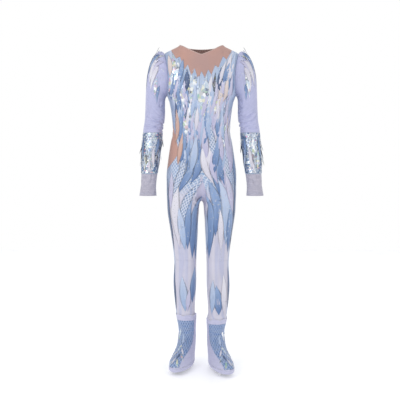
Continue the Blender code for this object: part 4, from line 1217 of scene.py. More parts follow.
def lay_leaves(name, skin, leaves, stations=9, crown=0.0006, jitter=0.0):
    """Willow leaves as closed thin bodies. Each leaf: turn, height, slant, length, width, lift, cloth."""
    many, corners = len(leaves), len(LEAF_OFFSETS)
    a, b, slant, *rest = np.array([leaf[:6] for leaf in leaves], float).T
    length, width, lift = (values[:, None, None] for values in rest)
    c, s = np.cos(np.radians(slant))[:, None, None], np.sin(np.radians(slant))[:, None, None]
    steps = np.linspace(-1, 1, stations + 2)[:, None]
    shares = (1 - steps ** 2) ** 1.15 * (1 - 0.22 * steps)
    x = width * shares * LEAF_OFFSETS
    y = length / 2 * steps + 0 * x
    turns, heights = local_to_skin(skin, a, b, x * c + y * s, y * c - x * s)
    rise = lift + crown * LEAF_RISES * (shares > 0)
    rise = rise + jitter * (RANDOM.random(turns.shape) - 0.5) * (LEAF_RISES > 0.1)
    points = skin.on(turns, heights, rise)
    # Each tip is one point: the first of its row
    kept = [0, *range(corners, corners * (stations + 1) + 1)]
    faces = leaf_faces(stations, corners)
    all_faces = [[k + number * len(kept) for k in face] for number in range(many) for face in faces]
    loops = [k for face in all_faces for k in face]
    across, along = x / width, (steps + 1) / 2 + 0 * x
    tone = TONE_STEP * np.arange(many)[:, None, None]
    planes = {"leaf": (across + tone, along), "cut": (x, y), "spot": (0.1 * across + tone, along)}
    maps = {label: np.stack([values.reshape(many, -1)[:, kept].ravel()[loops] for values in plane], axis=-1)
            for label, plane in planes.items()}
    labels = sorted({leaf[6] for leaf in leaves}, key=list(LEAF_CLOTHS).index)
    piece = mesh_object(name, points.reshape(many, -1, 3)[:, kept].reshape(-1, 3), all_faces,
                        [LEAF_CLOTHS[label] for label in labels], maps, False)
    numbers = np.repeat([labels.index(leaf[6]) for leaf in leaves], len(faces))
    piece.data.polygons.foreach_set("material_index", numbers.astype(np.int32))
    soft = np.repeat([leaf[6] not in FOILS for leaf in leaves], len(faces))
    piece.data.polygons.foreach_set("use_smooth", soft)


# %% Torso leaves in staggered, fanning rows
SMALL_LEAF = {"pitch": 0.0205, "length": 0.100, "width": 0.0175, "rows": np.arange(-0.084, -0.40, -0.034)}
LARGE_LEAF = {"pitch": 0.0330, "length": 0.150, "width": 0.0290, "rows": np.arange(-0.425, -0.60, -0.052)}
LEAF_SPREAD = {"length": 0.040, "width": 0.008, "lift": 0.0010}
FAN_TURNS, FAN_PER_METRE, FAN_SCATTER = (-4, 7), 50, 8
INSET_CLEAR, CENTRE_CLEAR, SIDE_CLEAR, YOKE_CLEAR = 7.0, 8.0, 0.006, 0.003
LEAF_LIFT, TIP_SHARE, BODY_DEPTH = 0.0004, 0.47, 0.11
HIP_LINE, SHOULDER_LINE, SHOULDER_FROM, CHEST_LINE, MIDDLE_TO = -0.41, -0.16, 0.085, -0.24, 0.070
CHEST_MIDDLE = {"silver": 7, "white": 2, "ice": 2.5, "dark": 1.1, "nude": 0.3, "lilac": 1}
BELLY_MIDDLE = {"ice": 4, "silver": 2.4, "lilac": 3, "blue": 1, "nude": 0.4, "white": 1.4}
HIPS = {"lattice": 4, "lilac": 4, "blue": 2.0, "ice": 2.5, "white": 1.8}
RIGHT_FLANK = {"blue": 5, "ice": 2, "navy": 1.6, "silver": 1.2, "lilac": 1}
LEFT_FLANK = {"lilac": 4, "ice": 2, "cream": 1.8, "blue": 1.3, "silver": 1.2, "white": 1.5}
SHOULDER_FRONT = {"blue": 3, "navy": 2.2, "ice": 2, "silver": 2.2, "cream": 0.8, "white": 1}


def pick(weights):
    labels = list(weights)
    share = np.array([weights[label] for label in labels], float)
    return labels[int(RANDOM.choice(len(labels), p=share / share.sum()))]


def torso_cloth(side, face, x, z):
    """Cloth of a leaf by its place: silver in the middle of the chest, lattice and lilac at the hips."""
    if z < HIP_LINE:
        return pick(HIPS)
    if z > SHOULDER_LINE and x > SHOULDER_FROM:
        return pick(SHOULDER_FRONT)
    if x < MIDDLE_TO:
        label = pick(CHEST_MIDDLE if z > CHEST_LINE else BELLY_MIDDLE)
        return "ice" if face > 0 and label == "nude" else label
    return pick(RIGHT_FLANK if side < 0 else LEFT_FLANK)


def fits_cloth(side, around, z):
    """True where a point is on its front or back, clear of yoke, inset, centre and side seam."""
    x = abs(trunk_place(side, around, z)[0])
    below = z < yoke_low(side, -1 if around < 0 else 1, min(x, YOKE_HALF_WIDTH)) - YOKE_CLEAR
    edge = CENTRE_CLEAR
    if side < 0 and around < 0 and INSET_LOW < z < INSET_TOP:
        edge = 90 * float(INSET("reach", z)) + INSET_CLEAR
    reach = 97 if z > -0.50 else 88 + 6 * (z < -0.60)
    return below and edge < abs(around) < reach


def torso_leaves(side, face):
    leaves = []
    for kind in (SMALL_LEAF, LARGE_LEAF):
        for row, z in enumerate(kind["rows"]):
            first = (0.0 if side < 0 else kind["pitch"]) if row % 2 else kind["pitch"] / 2
            for x in np.arange(first, float(BODY("side", z)) - SIDE_CLEAR, kind["pitch"]):
                length = kind["length"] + LEAF_SPREAD["length"] * RANDOM.random()
                width = kind["width"] + LEAF_SPREAD["width"] * RANDOM.random()
                fan = FAN_TURNS[row % 2] + FAN_PER_METRE * x + FAN_SCATTER * (RANDOM.random() - 0.5)
                around = face * turn_at_x(x, z if z <= UPPER_CHEST else 0)
                drift = math.degrees(length / 2 * math.tan(math.radians(fan)) / BODY_DEPTH)
                ends = [(around - face * end * drift, z + end * TIP_SHARE * length) for end in (-1, 1)]
                if all(fits_cloth(side, a, b) for a, b in ends + [(around, z)]):
                    lift = LEAF_LIFT + LEAF_SPREAD["lift"] * RANDOM.random()
                    leaves.append((around, z, -side * face * fan, length, width, lift,
                                   torso_cloth(side, face, x, z)))
    return leaves


counts = 0
for side in SIDES:
    for face in (-1, 1):
        leaves = torso_leaves(side, face)
        counts += len(leaves)
        lay_leaves("leaves_" + half_name(face, side), TRUNK[side], leaves, jitter=0.0006)
print("torso leaves:", counts)

# %% [markdown]
# ## Long panels on the legs
#
# The legs carry long satin and net leaves that fall from the hip and taper out above the knee, so
# the leg looks longer. They are wide, so they have more points and almost no crown.

# %% Long leaves: turn, height of middle, slant, length, width, cloth
def stacked(rows, lift=0.0006, step=0.00012):
    """Rows of a leaf table with each leaf's lift, one step higher than the leaf before it."""
    return [(*row[:5], lift + step * count, row[5]) for count, row in enumerate(rows)]


LONG_LEAVES = {
    (-1, -1): [(-96, -0.700, -6, 0.240, 0.040, "lattice"), (-136, -0.800, -4, 0.300, 0.054, "blue"),
               (-60, -0.735, 3, 0.330, 0.056, "white"), (-24, -0.745, 2, 0.340, 0.034, "navy"),
               (-84, -0.810, 5, 0.200, 0.040, "ice"), (-108, -0.790, -3, 0.230, 0.034, "blue"),
               (-158, -0.860, -3, 0.190, 0.032, "blue"), (-40, -0.640, 3, 0.170, 0.034, "lilac"),
               (-38, -0.352, -2, 0.160, 0.026, "nude"), (-53, -0.452, -3, 0.150, 0.024, "nude")],
    (1, -1): [(-98, -0.720, 5, 0.250, 0.050, "blue"), (-130, -0.800, 5, 0.300, 0.052, "blue"),
              (-64, -0.735, -4, 0.300, 0.056, "ice"), (-22, -0.745, -2, 0.330, 0.034, "navy"),
              (-44, -0.800, -4, 0.240, 0.042, "blue"), (-84, -0.815, -4, 0.190, 0.028, "white"),
              (-48, -0.650, -5, 0.180, 0.038, "lilac"), (-154, -0.830, 3, 0.200, 0.030, "ice")],
    (-1, 1): [(64, -0.730, -3, 0.330, 0.056, "white"), (98, -0.770, 4, 0.300, 0.054, "blue"),
              (32, -0.745, -3, 0.330, 0.040, "navy"), (134, -0.800, 4, 0.260, 0.044, "ice"),
              (76, -0.640, 3, 0.200, 0.040, "lattice"), (50, -0.820, -4, 0.190, 0.036, "ice")],
    (1, 1): [(66, -0.740, 3, 0.320, 0.056, "ice"), (100, -0.770, -4, 0.300, 0.054, "blue"),
             (32, -0.745, 3, 0.330, 0.040, "navy"), (136, -0.800, -4, 0.260, 0.044, "white"),
             (76, -0.640, -3, 0.200, 0.040, "lattice"), (48, -0.830, 4, 0.190, 0.036, "lilac")],
}
for (side, face), rows in LONG_LEAVES.items():
    name = "long_leaves_" + half_name(face, side)
    lay_leaves(name, TRUNK[side], stacked(rows), stations=41, crown=0.0005)
SHIN_LEAVES = {
    -1: [(-84, -1.110, 5, 0.170, 0.040, "ice"), (-142, -1.070, -4, 0.170, 0.044, "blue"),
         (-22, -1.080, 3, 0.220, 0.026, "navy"), (-110, -1.140, -5, 0.110, 0.024, "lilac"),
         (74, -1.090, -4, 0.210, 0.046, "ice"), (124, -1.100, 4, 0.160, 0.038, "blue")],
    1: [(-92, -1.135, -6, 0.140, 0.046, "blue"), (-122, -1.120, 4, 0.160, 0.036, "ice"),
        (-58, -1.110, -3, 0.190, 0.032, "white"), (-22, -1.080, -3, 0.200, 0.024, "navy"),
        (76, -1.090, 4, 0.200, 0.046, "blue"), (126, -1.100, -4, 0.160, 0.038, "ice")],
}
for side, rows in SHIN_LEAVES.items():
    lay_leaves("shin_leaves_" + word(side), SHINS[side], stacked(rows), stations=25, crown=0.0005)
print("long leaves:", sum(map(len, LONG_LEAVES.values())), "and", sum(map(len, SHIN_LEAVES.values())))


# %% [markdown]
# ## Sleeve caps and forearms
#
# Navy leaves run over the outer shoulder, pale ones with stones in front of them, and foil nearer
# the neckline. The forearm band is set with small foil scales that overlap downward like a fish's.

# %% Shoulder leaves: turn, ring, slant, length, width, cloth
SHOULDER_LEAVES = [
    (-6, 3.9, 2, 0.140, 0.026, "navy"), (14, 4.6, -3, 0.160, 0.024, "navy"),
    (30, 3.4, 3, 0.110, 0.020, "blue"), (50, 4.3, -4, 0.120, 0.028, "white"),
    (70, 4.6, 3, 0.110, 0.026, "white"), (60, 2.9, 5, 0.080, 0.020, "lilac"),
    (86, 5.3, -3, 0.084, 0.016, "silver"), (102, 5.6, 4, 0.070, 0.013, "blue"),
    (40, 2.0, 4, 0.050, 0.014, "silver"), (-28, 3.6, -3, 0.130, 0.024, "blue"),
    (-50, 4.2, 4, 0.120, 0.026, "white"), (-72, 4.0, -3, 0.110, 0.024, "ice"),
    (-88, 3.0, 4, 0.076, 0.018, "silver"), (-64, 2.6, 3, 0.070, 0.018, "lilac"),
]
FOREARM_LEAVES = [
    (84, 12.4, 4, 0.090, 0.014, "silver"), (108, 13.4, -4, 0.100, 0.015, "white"),
    (62, 13.6, 5, 0.096, 0.014, "silver"), (132, 12.3, 3, 0.080, 0.017, "blue"),
    (38, 12.5, -4, 0.090, 0.015, "blue"), (90, 14.2, -3, 0.060, 0.012, "white"),
    (8, 13.0, 2, 0.130, 0.017, "navy"), (152, 13.4, 4, 0.090, 0.014, "ice"),
    (176, 13.0, -2, 0.120, 0.016, "navy"), (-30, 12.8, 4, 0.090, 0.014, "silver"),
    (-66, 13.2, -4, 0.100, 0.015, "blue"), (-104, 12.8, 3, 0.090, 0.015, "white"),
    (-142, 13.2, -3, 0.080, 0.014, "silver"),
]
ARM_LEAVES = (("shoulder_leaves_", SHOULDER_LEAVES), ("forearm_leaves_", FOREARM_LEAVES))
SLEEVE_LIFT, SCALE_LIFT, LIFT_STEP, LIFT_STEPS, TURN_SWAY = 0.0006, 0.0026, 0.0001, 7, 3
for side in SIDES:
    for title, table in ARM_LEAVES:
        laid = []
        for count, (turn, ring, slant, length, width, cloth) in enumerate(table):
            turn += TURN_SWAY * side * math.sin(5.1 * count)
            lift = (SLEEVE_LIFT if ring < BAND_FROM else SCALE_LIFT) + LIFT_STEP * (count % LIFT_STEPS)
            laid.append((turn, ring, slant * side, length, width, lift, cloth))
        lay_leaves(title + word(side), ARMS[side], laid, stations=11, jitter=0.0004)
print("shoulder and forearm leaves:", len(SHOULDER_LEAVES), len(FOREARM_LEAVES))

# %% Boot cover slivers: turn, ring, slant, length, width, cloth
BOOT_SLIVERS = [
    (10, 5.4, 20, 0.044, 0.009, "silver"), (-14, 5.9, -24, 0.046, 0.009, "white"),
    (24, 6.3, 28, 0.052, 0.010, "silver"), (-3, 6.8, 6, 0.050, 0.009, "navy"),
    (-24, 7.0, -30, 0.050, 0.010, "silver"), (12, 7.7, 16, 0.044, 0.009, "white"),
    (-10, 8.0, -14, 0.042, 0.009, "silver"), (38, 7.3, 34, 0.046, 0.009, "white"),
    (44, 5.2, 14, 0.046, 0.009, "ice"), (62, 6.6, 20, 0.050, 0.010, "navy"),
    (96, 5.2, 8, 0.054, 0.010, "silver"), (130, 5.6, -10, 0.050, 0.010, "ice"),
    (160, 4.6, 6, 0.050, 0.010, "blue"), (2, 3.8, -6, 0.056, 0.011, "ice"),
    (34, 3.2, 10, 0.056, 0.011, "silver"), (-30, 4.4, -12, 0.050, 0.010, "blue"),
    (70, 3.6, 8, 0.056, 0.011, "navy"), (28, 8.4, 20, 0.030, 0.008, "silver"),
]
for side in SIDES:
    lay_leaves("boot_slivers_" + word(side), BOOTS[side], stacked(BOOT_SLIVERS, step=0), jitter=0.0004)
print("boot cover slivers:", len(BOOT_SLIVERS))


# %% Small solid shapes set along a skin
def set_shapes(name, points, outward, forward, kind, size, materials, numbers=None):
    """Copies of one small closed shape, each standing on its own place, as one mesh."""
    shape, shape_faces = kind
    forward = forward - outward * np.einsum("ij,ij->i", forward, outward)[:, None]
    forward /= np.linalg.norm(forward, axis=1, keepdims=True)
    sideways = np.cross(forward, outward)
    local = np.asarray(shape, float) * np.broadcast_to(size, len(points))[:, None, None]
    places = (points[:, None] + local[..., :1] * sideways[:, None] + local[..., 1:2] * forward[:, None]
              + local[..., 2:] * outward[:, None])
    starts = range(0, len(points) * len(shape), len(shape))
    faces = [[k + start for k in face] for start in starts for face in shape_faces]
    piece = mesh_object(name, places.reshape(-1, 3), faces, materials, None, False)
    if numbers is not None:
        slots = np.repeat(numbers, len(shape_faces)).astype(np.int32)
        piece.data.polygons.foreach_set("material_index", slots)
    return piece


def prism(outline, low, high, shrink=1.0):
    """A closed shape from an outline, flat below and drawn in by shrink above."""
    count = len(outline)
    shape = [(x, y, low) for x, y in outline] + [(x * shrink, y * shrink, high) for x, y in outline]
    faces = [list(range(count))[::-1], list(range(count, 2 * count))]
    return shape, faces + tube_faces(0, 2, count)


# %% Foil scales on the forearm bands
SCALE_OUTLINE = [(-0.5, 0.45), (0.5, 0.45), (0.52, -0.05), (0.30, -0.42), (0.0, -0.55), (-0.30, -0.42),
                 (-0.52, -0.05)]
SCALE_ROWS, SCALES_AROUND, SCALE_FIRST, SCALE_PITCH = 26, 34, 0.12, 0.148
SCALE_SIZE, SCALE_THICK, SCALE_TIP, SCALE_SCATTER = 0.0074, 0.04, 0.10, 0.20
SCALES_KEPT, SCALES_BLUE, BLUE_SWAY, SCALES_PINK = 0.86, 0.42, 0.45, 0.03
SCALE_CLOTHS = [foil("scale_silver", (0.60, 0.67, 0.78), 140.0, 0.25, 0.6, 0.45),
                foil("scale_blue", (0.10, 0.18, 0.36), 140.0, 0.28, 0.55, 0.16),
                foil("scale_pink", (0.62, 0.30, 0.42), 170.0, 0.3, 0.5, 0.25)]
flat_shape, scale_faces = prism(SCALE_OUTLINE, 0.0, SCALE_THICK)
scale_shape = [(x, y, z + SCALE_TIP * (0.45 - y)) for x, y, z in flat_shape]
scale_rows, scale_places = np.divmod(np.arange(SCALE_ROWS * SCALES_AROUND), SCALES_AROUND)
for side in SIDES:
    turns = (scale_places + 0.5 * (scale_rows % 2)) * 360 / SCALES_AROUND
    rings = BAND_FROM + SCALE_FIRST + scale_rows * SCALE_PITCH
    keep = RANDOM.random(len(turns)) < SCALES_KEPT
    turns, rings = turns[keep], rings[keep]
    skin = ARMS[side]
    up = -skin.tangents(turns, rings)[1]
    tip = skin.normal(turns, rings) + (RANDOM.random((len(turns), 3)) - 0.5) * SCALE_SCATTER
    tip /= np.linalg.norm(tip, axis=1, keepdims=True)
    blue = RANDOM.random(len(turns)) < SCALES_BLUE + BLUE_SWAY * np.cos(np.radians(2 * turns))
    numbers = np.where(blue, 1, 0)
    numbers[RANDOM.random(len(turns)) < SCALES_PINK] = 2
    piece = set_shapes("foil_scales_" + word(side), skin.on(turns, rings, 0.0003), tip, up,
                       (scale_shape, scale_faces), SCALE_SIZE, SCALE_CLOTHS, numbers)
print("foil scales on each band:", len(turns))


# %% [markdown]
# ## Glass stones and stitches
#
# Flat-back stones are glued in scattered drifts over the leaves. Each is a low cut dome of glass
# over a silver back, which a bright smooth metal gives well at this size, with painted glints
# from the foil facets mixed into its colour.
# Seams are closed by small stitches in thread, one short body each.

# %% Stones
def stone_material():
    material, tree, shader = start_material("glass_stone", 0.06, 0.0, 0.35)
    facets = use(tree, FOIL, Vector=object_place(tree), Scale=260.0)
    # A third of the stone's colour is the foil's painted glints and painted rainbow flash, which paint its
    # sparkle
    feed(tree, shader["Base Color"], mix(tree, 0.35, (0.88, 0.91, 0.97), facets["Tint"]))
    bump(tree, shader, facets["Height"], 0.0004, 0.3)
    shader["Coat Weight"].default_value = 0.8
    return material


STONE = stone_material()
STONE_SIDES, STONE_HEIGHT, STONE_TABLE, STONE_LIFT, SHOULDER_STONES = 8, 0.36, 0.55, 0.0014, 90
corners = 2 * math.pi * np.arange(STONE_SIDES) / STONE_SIDES
octagon = [(0.5 * math.cos(corner), 0.5 * math.sin(corner)) for corner in corners]
stone_kind = prism(octagon, 0.0, STONE_HEIGHT, STONE_TABLE)


def set_stones(name, skin, turns, heights, sizes, lift=STONE_LIFT):
    turns, heights = np.array(turns, float), np.array(heights, float)
    piece = set_shapes(name, skin.on(turns, heights, lift), skin.normal(turns, heights),
                       skin.tangents(turns, heights)[1], stone_kind, sizes, [STONE])


# Turn, top, low end and number of stones of each line down a leg
STONE_LINES = {-1: [(-58, -0.560, -0.850, 17), (-74, -0.640, -0.900, 13), (-40, -0.640, -0.840, 9)],
               1: [(-76, -0.800, -0.952, 13), (-92, -0.640, -0.840, 11), (-52, -0.560, -0.800, 13)]}
STONE_TRIES = {-1: 420, 1: 240}
DRIFT_LOW, INNER_LEG = -0.56, 0.04
stones = 0
for side in SIDES:
    for face in (-1, 1):
        laid = []
        for turn, top, low, count in STONE_LINES[side]:
            laid += [(-face * turn + 2.5 * np.sin(number * 2.3), z, 0.0046 - 0.0016 * (number % 3 == 1))
                     for number, z in enumerate(np.linspace(top, low, count))]
        for _ in range(STONE_TRIES[face]):
            x, z = 0.004 + 0.132 * RANDOM.random(), -0.09 - 0.78 * RANDOM.random() ** 1.5
            if x > float(BODY("side", z)) - 0.01 or (z < DRIFT_LOW and x < INNER_LEG):
                continue
            around = face * turn_at_x(x, z if z <= UPPER_CHEST else 0)
            if z <= DRIFT_LOW or fits_cloth(side, around, z):
                laid.append((around, z, 0.0022 + 0.0020 * RANDOM.random()))
        set_stones("stones_" + half_name(face, side), TRUNK[side], *zip(*laid))
        stones += len(laid)
    turns = 20 + 90 * RANDOM.random(SHOULDER_STONES)
    rings = 1.6 + 5.0 * RANDOM.random(SHOULDER_STONES) ** 1.2
    sizes = 0.0024 + 0.0018 * RANDOM.random(SHOULDER_STONES)
    set_stones("stones_shoulder_" + word(side), ARMS[side], turns, rings, sizes, 0.0012)
    stones += SHOULDER_STONES
print("glass stones:", stones)


# %% Stitches
def thread_material():
    material, tree, shader = start_material("pale_thread", 0.55, 0.3)
    wave = add(tree, "ShaderNodeTexWave", {"Vector": object_place(tree), "Scale": 900.0}).outputs["Fac"]
    colour = mix(tree, wave, (0.46, 0.47, 0.60), (0.62, 0.63, 0.76))
    feed(tree, shader["Base Color"], use(tree, LIFE, Color=colour, Amount=0.2)["Color"])
    bump(tree, shader, wave, 0.0002, 0.4)
    return material


THREAD = thread_material()
STITCH_PITCH, STITCH_LENGTH, STITCH_AHEAD, STITCH_LIFT = 0.0042, 0.0030, 0.0006, 0.0002
STITCH_OUTLINE = [(-0.13, -0.5), (0.13, -0.5), (0.2, 0.0), (0.13, 0.5), (-0.13, 0.5), (-0.2, 0.0)]
stitch_kind = prism(STITCH_OUTLINE, -0.02, 0.14, 0.8)


def stitch_line(skin, a, b):
    """Places, outward and forward directions of stitches spaced along a line on a skin."""
    a, b = np.broadcast_arrays(np.asarray(a, float), np.asarray(b, float))
    run = run_along(skin.on(a, b))
    marks = np.arange(STITCH_PITCH, run[-1] - STITCH_PITCH / 2, STITCH_PITCH)
    aa, bb = np.interp(marks, run, a), np.interp(marks, run, b)
    here = skin.on(aa, bb, STITCH_LIFT)
    marks = marks + STITCH_AHEAD
    ahead = skin.on(np.interp(marks, run, a), np.interp(marks, run, b), STITCH_LIFT)
    return here, skin.normal(aa, bb), ahead - here


def stitches(name, lines):
    parts = [np.concatenate(group) for group in zip(*lines)]
    piece = set_shapes(name, *parts, stitch_kind, STITCH_LENGTH, [THREAD])
    return len(parts[0])


made = 0
fine = np.linspace(0, 1, 160) * 9
leg = np.linspace(-0.58, KNEE + 0.01, 200)
circle = np.linspace(0, 359, 300)
ARM_STITCH_RINGS = (BAND_FROM - 0.07, CUFF_FROM + 0.06, CUFF_TO - 0.42, CUFF_TO - 0.55)
BOOT_STITCH_RINGS = (SOLE_BAND_FROM + 0.15, COLLAR_TO - 0.08)
for side in SIDES:
    x = np.interp(fine, range(10), ZIGZAG_X)
    z = np.interp(fine, range(10), ZIGZAG[side]) - ZIGZAG_SEAM - 0.0025
    around = -np.array([turn_at_x(max(value, 0.001), 0) for value in x])
    lines = [stitch_line(TRUNK[side], around[10:], z[10:]),
             stitch_line(TRUNK[side], 1.6, leg),
             stitch_line(TRUNK[side], np.linspace(-177, 177, 400), KNEE + 0.003)]
    made += stitches("seam_stitches_" + word(side), lines)
    lines = [stitch_line(ARMS[side], circle, ring) for ring in ARM_STITCH_RINGS]
    made += stitches("arm_stitches_" + word(side), lines)
    lines = [stitch_line(BOOTS[side], circle, ring) for ring in BOOT_STITCH_RINGS]
    made += stitches("boot_stitches_" + word(side), lines)
print("stitches:", made)


# %% [markdown]
# ## Bindings, hems, drops and points
#
# The neck and collar edges are bound with soft elastic, and the cuff hem is rolled. Hard foil drops
# hang from the forearms, and stiff points stand off the sleeve caps. The hook tab keeps its solid.

# %% A soft tube along a closed line
BINDING_SIDES, BINDING_LENGTH, BINDING_WIDTH = 10, 0.7, 0.01


def binding(name, line, radius, material, flat=1.0):
    """A closed tube, flattened across its outward direction."""
    count, sides = len(line), BINDING_SIDES
    ahead = np.roll(line, -1, axis=0) - np.roll(line, 1, axis=0)
    ahead /= np.linalg.norm(ahead, axis=1, keepdims=True)
    up = np.array([0.0, 0.0, 1.0]) - ahead * ahead[:, 2:]
    up /= np.linalg.norm(up, axis=1, keepdims=True)
    out = np.cross(ahead, up)
    angle = np.linspace(0, 2 * math.pi, sides, endpoint=False)[None, :, None]
    points = (line[:, None] + radius * np.cos(angle) * up[:, None] * flat
              + radius * np.sin(angle) * out[:, None]).reshape(-1, 3)
    i, j = np.divmod(np.arange(count * sides), sides)
    next_i, next_j = (i + 1) % count, (j + 1) % sides
    corners = [(i, j), (next_i, j), (next_i, next_j), (i, next_j)]
    faces = np.stack([row * sides + place for row, place in corners], axis=1)
    if signed_volume(points, faces) < 0:
        faces = faces[:, ::-1]
    u, v = i / count, j / sides
    corner_u = np.stack([u, u + 1 / count, u + 1 / count, u], axis=1)
    corner_v = np.stack([v, v, v + 1 / sides, v + 1 / sides], axis=1)
    maps = {"cut": np.stack([corner_u * BINDING_LENGTH, corner_v * BINDING_WIDTH], axis=-1),
            "spot": np.stack([corner_u, corner_v], axis=-1)}
    piece = mesh_object(name, points, faces, [material], maps)
    return piece


NECK_POINTS = 81
neck_x = np.linspace(-NECK_HALF_WIDTH, NECK_HALF_WIDTH, NECK_POINTS)
neck_line = []
for face, places in ((-1, neck_x), (1, neck_x[-2:0:-1])):
    for x in places:
        side = -1 if x < 0 else 1
        turn = turn_at_x(max(abs(x), 1e-4), 0)
        neck_line.append(trunk_place(side, face * turn, neckline(face, x)) + np.array([0, 0, -0.0006]))
neck_line = np.array(neck_line)
neck_line = (np.roll(neck_line, 1, axis=0) + 2 * neck_line + np.roll(neck_line, -1, axis=0)) / 4
NECK_BIND = jersey("neck_elastic", (0.56, 0.40, 0.36), (0.50, 0.36, 0.33), 0.0009, 0.2)
neck_binding = binding("neck_binding", neck_line, 0.0017, NECK_BIND, 1.3)
WHITE_EDGE = jersey("white_edge_elastic", (0.66, 0.66, 0.76), (0.60, 0.60, 0.71), 0.0009, 0.2)
for side in SIDES:
    rim = BOOTS[side].on(ROUND, collar_rim(ROUND), -0.0003)
    binding("collar_edge_" + word(side), rim, 0.0012, WHITE_EDGE)
    hem = ARMS[side].on(ROUND, CUFF_TO, -0.0005)
    binding("cuff_edge_" + word(side), hem, 0.0011, CUFF_GREY)
print("neck binding along", round(float(run_along(neck_line)[-1]), 3), "m")

# %% Hard foil drops and shoulder points, at the places of their solids
PENDANT_THICK, LEAF_SEAT, LEAF_THIN, LEAF_BEND = 0.0014, 0.00045, 0.9, 0.0006
DROP_SWING, DROP_TWIST, POINT_TWIST = 6.0, 55.0, 60.0
HARD_STEPS = (0.0, 0.06, 0.14, 0.24, 0.36, 0.48, 0.60, 0.72, 0.84, 0.93)
HARD_HALVES = ([0, 0.12, 0.38, 0.75, 1], [0.18, 0.42, 0.5, 0.26, 0.0])
HARD_SECTION = ((-1, 0.15), (-0.5, 0.75), (0, 1.0), (0.5, 0.75), (1, 0.15), (0, -0.5))
# Ring, turn, length, width and tilt of each
PENDANTS = {
    -1: [(11.5, 180.0, 0.046, 0.010, 3), (12.0, 22.5, 0.052, 0.012, 6), (12.5, 202.5, 0.054, 0.011, 8),
         (13.0, 337.5, 0.058, 0.011, 5), (13.0, 67.5, 0.048, 0.010, 4)],
    1: [(11.8, 0.0, 0.048, 0.010, 5), (12.5, 337.5, 0.054, 0.011, 7), (13.0, 22.5, 0.060, 0.012, 6),
        (12.0, 180.0, 0.046, 0.010, 4), (13.0, 90.0, 0.052, 0.010, 4)],
}
SHARDS = [(3, 22.5, 0.046, 0.009, 14), (3, 45.0, 0.050, 0.010, 10), (3, -22.5, 0.042, 0.009, 16)]
DROP_FOILS = [foil("drop_silver", (0.36, 0.38, 0.42), 90.0, 0.22, 0.7, 0.30),
              foil("drop_smoke", (0.17, 0.165, 0.18), 90.0, 0.3, 0.6, 0.18),
              foil("drop_white", (0.66, 0.68, 0.72), 90.0, 0.25, 0.4, 0.3)]


def hard_leaf(name, top, away, along, length, width, material, node, twist):
    """A cut foil leaf: broad root, sharp tip, a raised midrib, a thin edge and a free twist to the tip."""
    across = np.cross(along, away)
    across /= np.linalg.norm(across)
    away = np.cross(across, along)
    points = []
    for step in HARD_STEPS:
        reach = np.interp(step, *HARD_HALVES) * width
        c, s = math.cos(math.radians(twist) * step), math.sin(math.radians(twist) * step)
        flat, face = across * c - away * s, away * c + across * s
        bend = LEAF_BEND * math.sin(3 * math.pi * step)
        for sideways, height in HARD_SECTION:
            rise = height * (PENDANT_THICK / 2) * LEAF_THIN + bend
            points.append(top + along * step * length + flat * sideways * reach + face * rise)
    points.append(top + along * length)
    ring = len(HARD_SECTION)
    last = (len(HARD_STEPS) - 1) * ring
    faces = tube_faces(0, len(HARD_STEPS), ring)
    faces += [[last + p, last + q, last + ring] for p, q in pairs_round(ring)]
    faces.append(list(range(ring))[::-1])
    piece = mesh_object(name, np.array(points), faces, [material], None, False)
    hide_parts(node)


def hang(name, node, side, spot, swing, ring_step, twist, material):
    """A hard leaf at its seat on a sleeve, pointing up or down the arm and tilted outward."""
    ring, turn, length, width, tilt = spot
    ring, turn = np.float64(ring), np.float64(turn)
    point, away = arm_place(side, turn, ring), ARMS[side].normal(turn, ring)
    along = arm_place(side, turn, ring + ring_step) - point
    along /= np.linalg.norm(along)
    angle = math.radians(tilt + swing)
    along = along * math.cos(angle) + away * math.sin(angle)
    top = point + away * (PENDANT_THICK / 2 + LEAF_SEAT)
    hard_leaf(name, top, away, along, length, width, material, node, twist)


for side in SIDES:
    for count, spot in enumerate(PENDANTS[side]):
        around = math.radians(spot[1])
        outer = math.sin(around + math.radians(20)) * math.cos(around) > 0
        ending = f"{word(side)}_{count}"
        hang("foil_drop_" + ending, "pendant_" + ending, side, spot, DROP_SWING, 0.3,
             DROP_TWIST * (1 if outer else -1), DROP_FOILS[count % 3])
    for count, spot in enumerate(SHARDS):
        ending = f"{word(side)}_{count}"
        hang("foil_point_" + ending, "shard_" + ending, side, spot, 0.0, -0.3,
             POINT_TWIST * side, DROP_FOILS[0 if count else 1])
print("foil drops:", sum(len(rows) for rows in PENDANTS.values()), "shoulder points:", 2 * len(SHARDS))


# %% Hook tab and floor
def moulded(name, colour, rough):
    material, tree, shader = start_material(name, rough)
    noise = add(tree, "ShaderNodeTexNoise", {"Vector": object_place(tree), "Scale": 60.0}).outputs[0]
    shade = mix(tree, noise, colour, tuple(0.9 * c for c in colour))
    feed(tree, shader["Base Color"], use(tree, LIFE, Color=shade, Amount=0.1)["Color"])
    bump(tree, shader, noise, 0.0003, 0.15)
    return material, shader


PLASTIC = moulded("white_plastic_moulded", (0.72, 0.72, 0.76), 0.38)[0]
tab = bpy.data.objects["hook_tab"]
for slot_here in tab.material_slots:
    slot_here.material = PLASTIC
floor_look, floor_shader = moulded("studio_floor", (0.90, 0.90, 0.91), 0.7)
floor_shader["Emission Color"].default_value = (1.0, 1.0, 1.0, 1.0)
floor_shader["Emission Strength"].default_value = 0.28
floor_mesh.materials.append(floor_look)
print("hook tab material slots:", len(tab.material_slots))
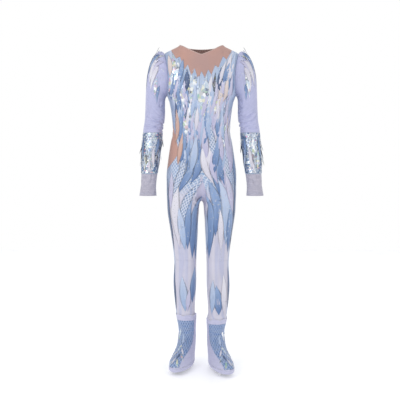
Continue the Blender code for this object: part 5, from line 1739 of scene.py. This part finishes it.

# %% [markdown]
# ## The cut of each cloth
#
# Every sheet is listed with the flat size that it was cut to. Stretch cloth is cut a little
# smaller than the body it goes on, so the worn area is larger than the cut one.

# %% Material slot of each cloth
SLOTS = {
    "yoke_front": "nude_mesh", "yoke_back": "nude_mesh", "side_inset": "nude_mesh",
    "front": "stretch_print", "back": "stretch_print", "shin": "stretch_print",
    "gusset": "lavender_jersey", "sleeve": "lavender_jersey", "band": "foil_mesh", "cuff": "grey_jersey",
    "boot_collar": "boot_lavender", "boot_band": "boot_lavender", "boot_panel": "boot_lavender",
    "boot_upper": "boot_lattice",
}

# %% Sheets: flat width, flat length, flat area and how the cloth is held
CUTS = {
    "front_right": (0.235, 0.930, 0.147, "stretched"), "front_left": (0.235, 0.930, 0.160, "stretched"),
    "back_right": (0.245, 0.935, 0.164, "stretched"), "back_left": (0.245, 0.935, 0.164, "stretched"),
    "yoke_front": (0.262, 0.160, 0.0237, "stretched"), "yoke_back": (0.262, 0.130, 0.0265, "stretched"),
    "side_inset": (0.080, 0.245, 0.0125, "stretched"), "gusset": (0.125, 0.315, 0.0204, "stretched"),
    "shin": (0.310, 0.275, 0.084, "stretched"), "sleeve": (0.360, 0.365, 0.097, "gathered"),
    "band": (0.250, 0.184, 0.0455, "stretched"), "cuff": (0.225, 0.097, 0.0215, "hung"),
    "boot_collar_right": (0.300, 0.032, 0.0074, "hung"), "boot_collar_left": (0.300, 0.030, 0.0065, "hung"),
    "boot_band": (0.600, 0.026, 0.0145, "stretched"), "boot_upper": (0.330, 0.210, 0.045, "stretched"),
    "boot_panel": (0.115, 0.200, 0.018, "stretched"),
}
LAID_ON = {
    "front": ["leaves_front_", "long_leaves_front_", "stones_front_", "seam_stitches_"],
    "back": ["leaves_back_", "long_leaves_back_", "stones_back_"],
    "shin": ["shin_leaves_"], "sleeve": ["shoulder_leaves_", "stones_shoulder_", "arm_stitches_"],
    "band": ["foil_scales_", "forearm_leaves_"], "boot_upper": ["boot_slivers_", "boot_stitches_"],
}
for name, piece in list(MADE.items()):
    if not name.startswith("cloth_"):
        continue
    node = name.removeprefix("cloth_")
    kind, _, where = node.rpartition("_")
    width, length, area, held = CUTS[node] if node in CUTS else CUTS[kind]
    extras = [MADE[title + where] for title in LAID_ON.get(kind, [])]
    if node == "yoke_front":
        extras = [neck_binding]
    SLOTS[node] if node in SLOTS else SLOTS[kind]
    worn = sum(polygon.area for polygon in piece.data.polygons) / 2
    print(node, "cut", area, "m2, worn", round(worn, 4), "m2")
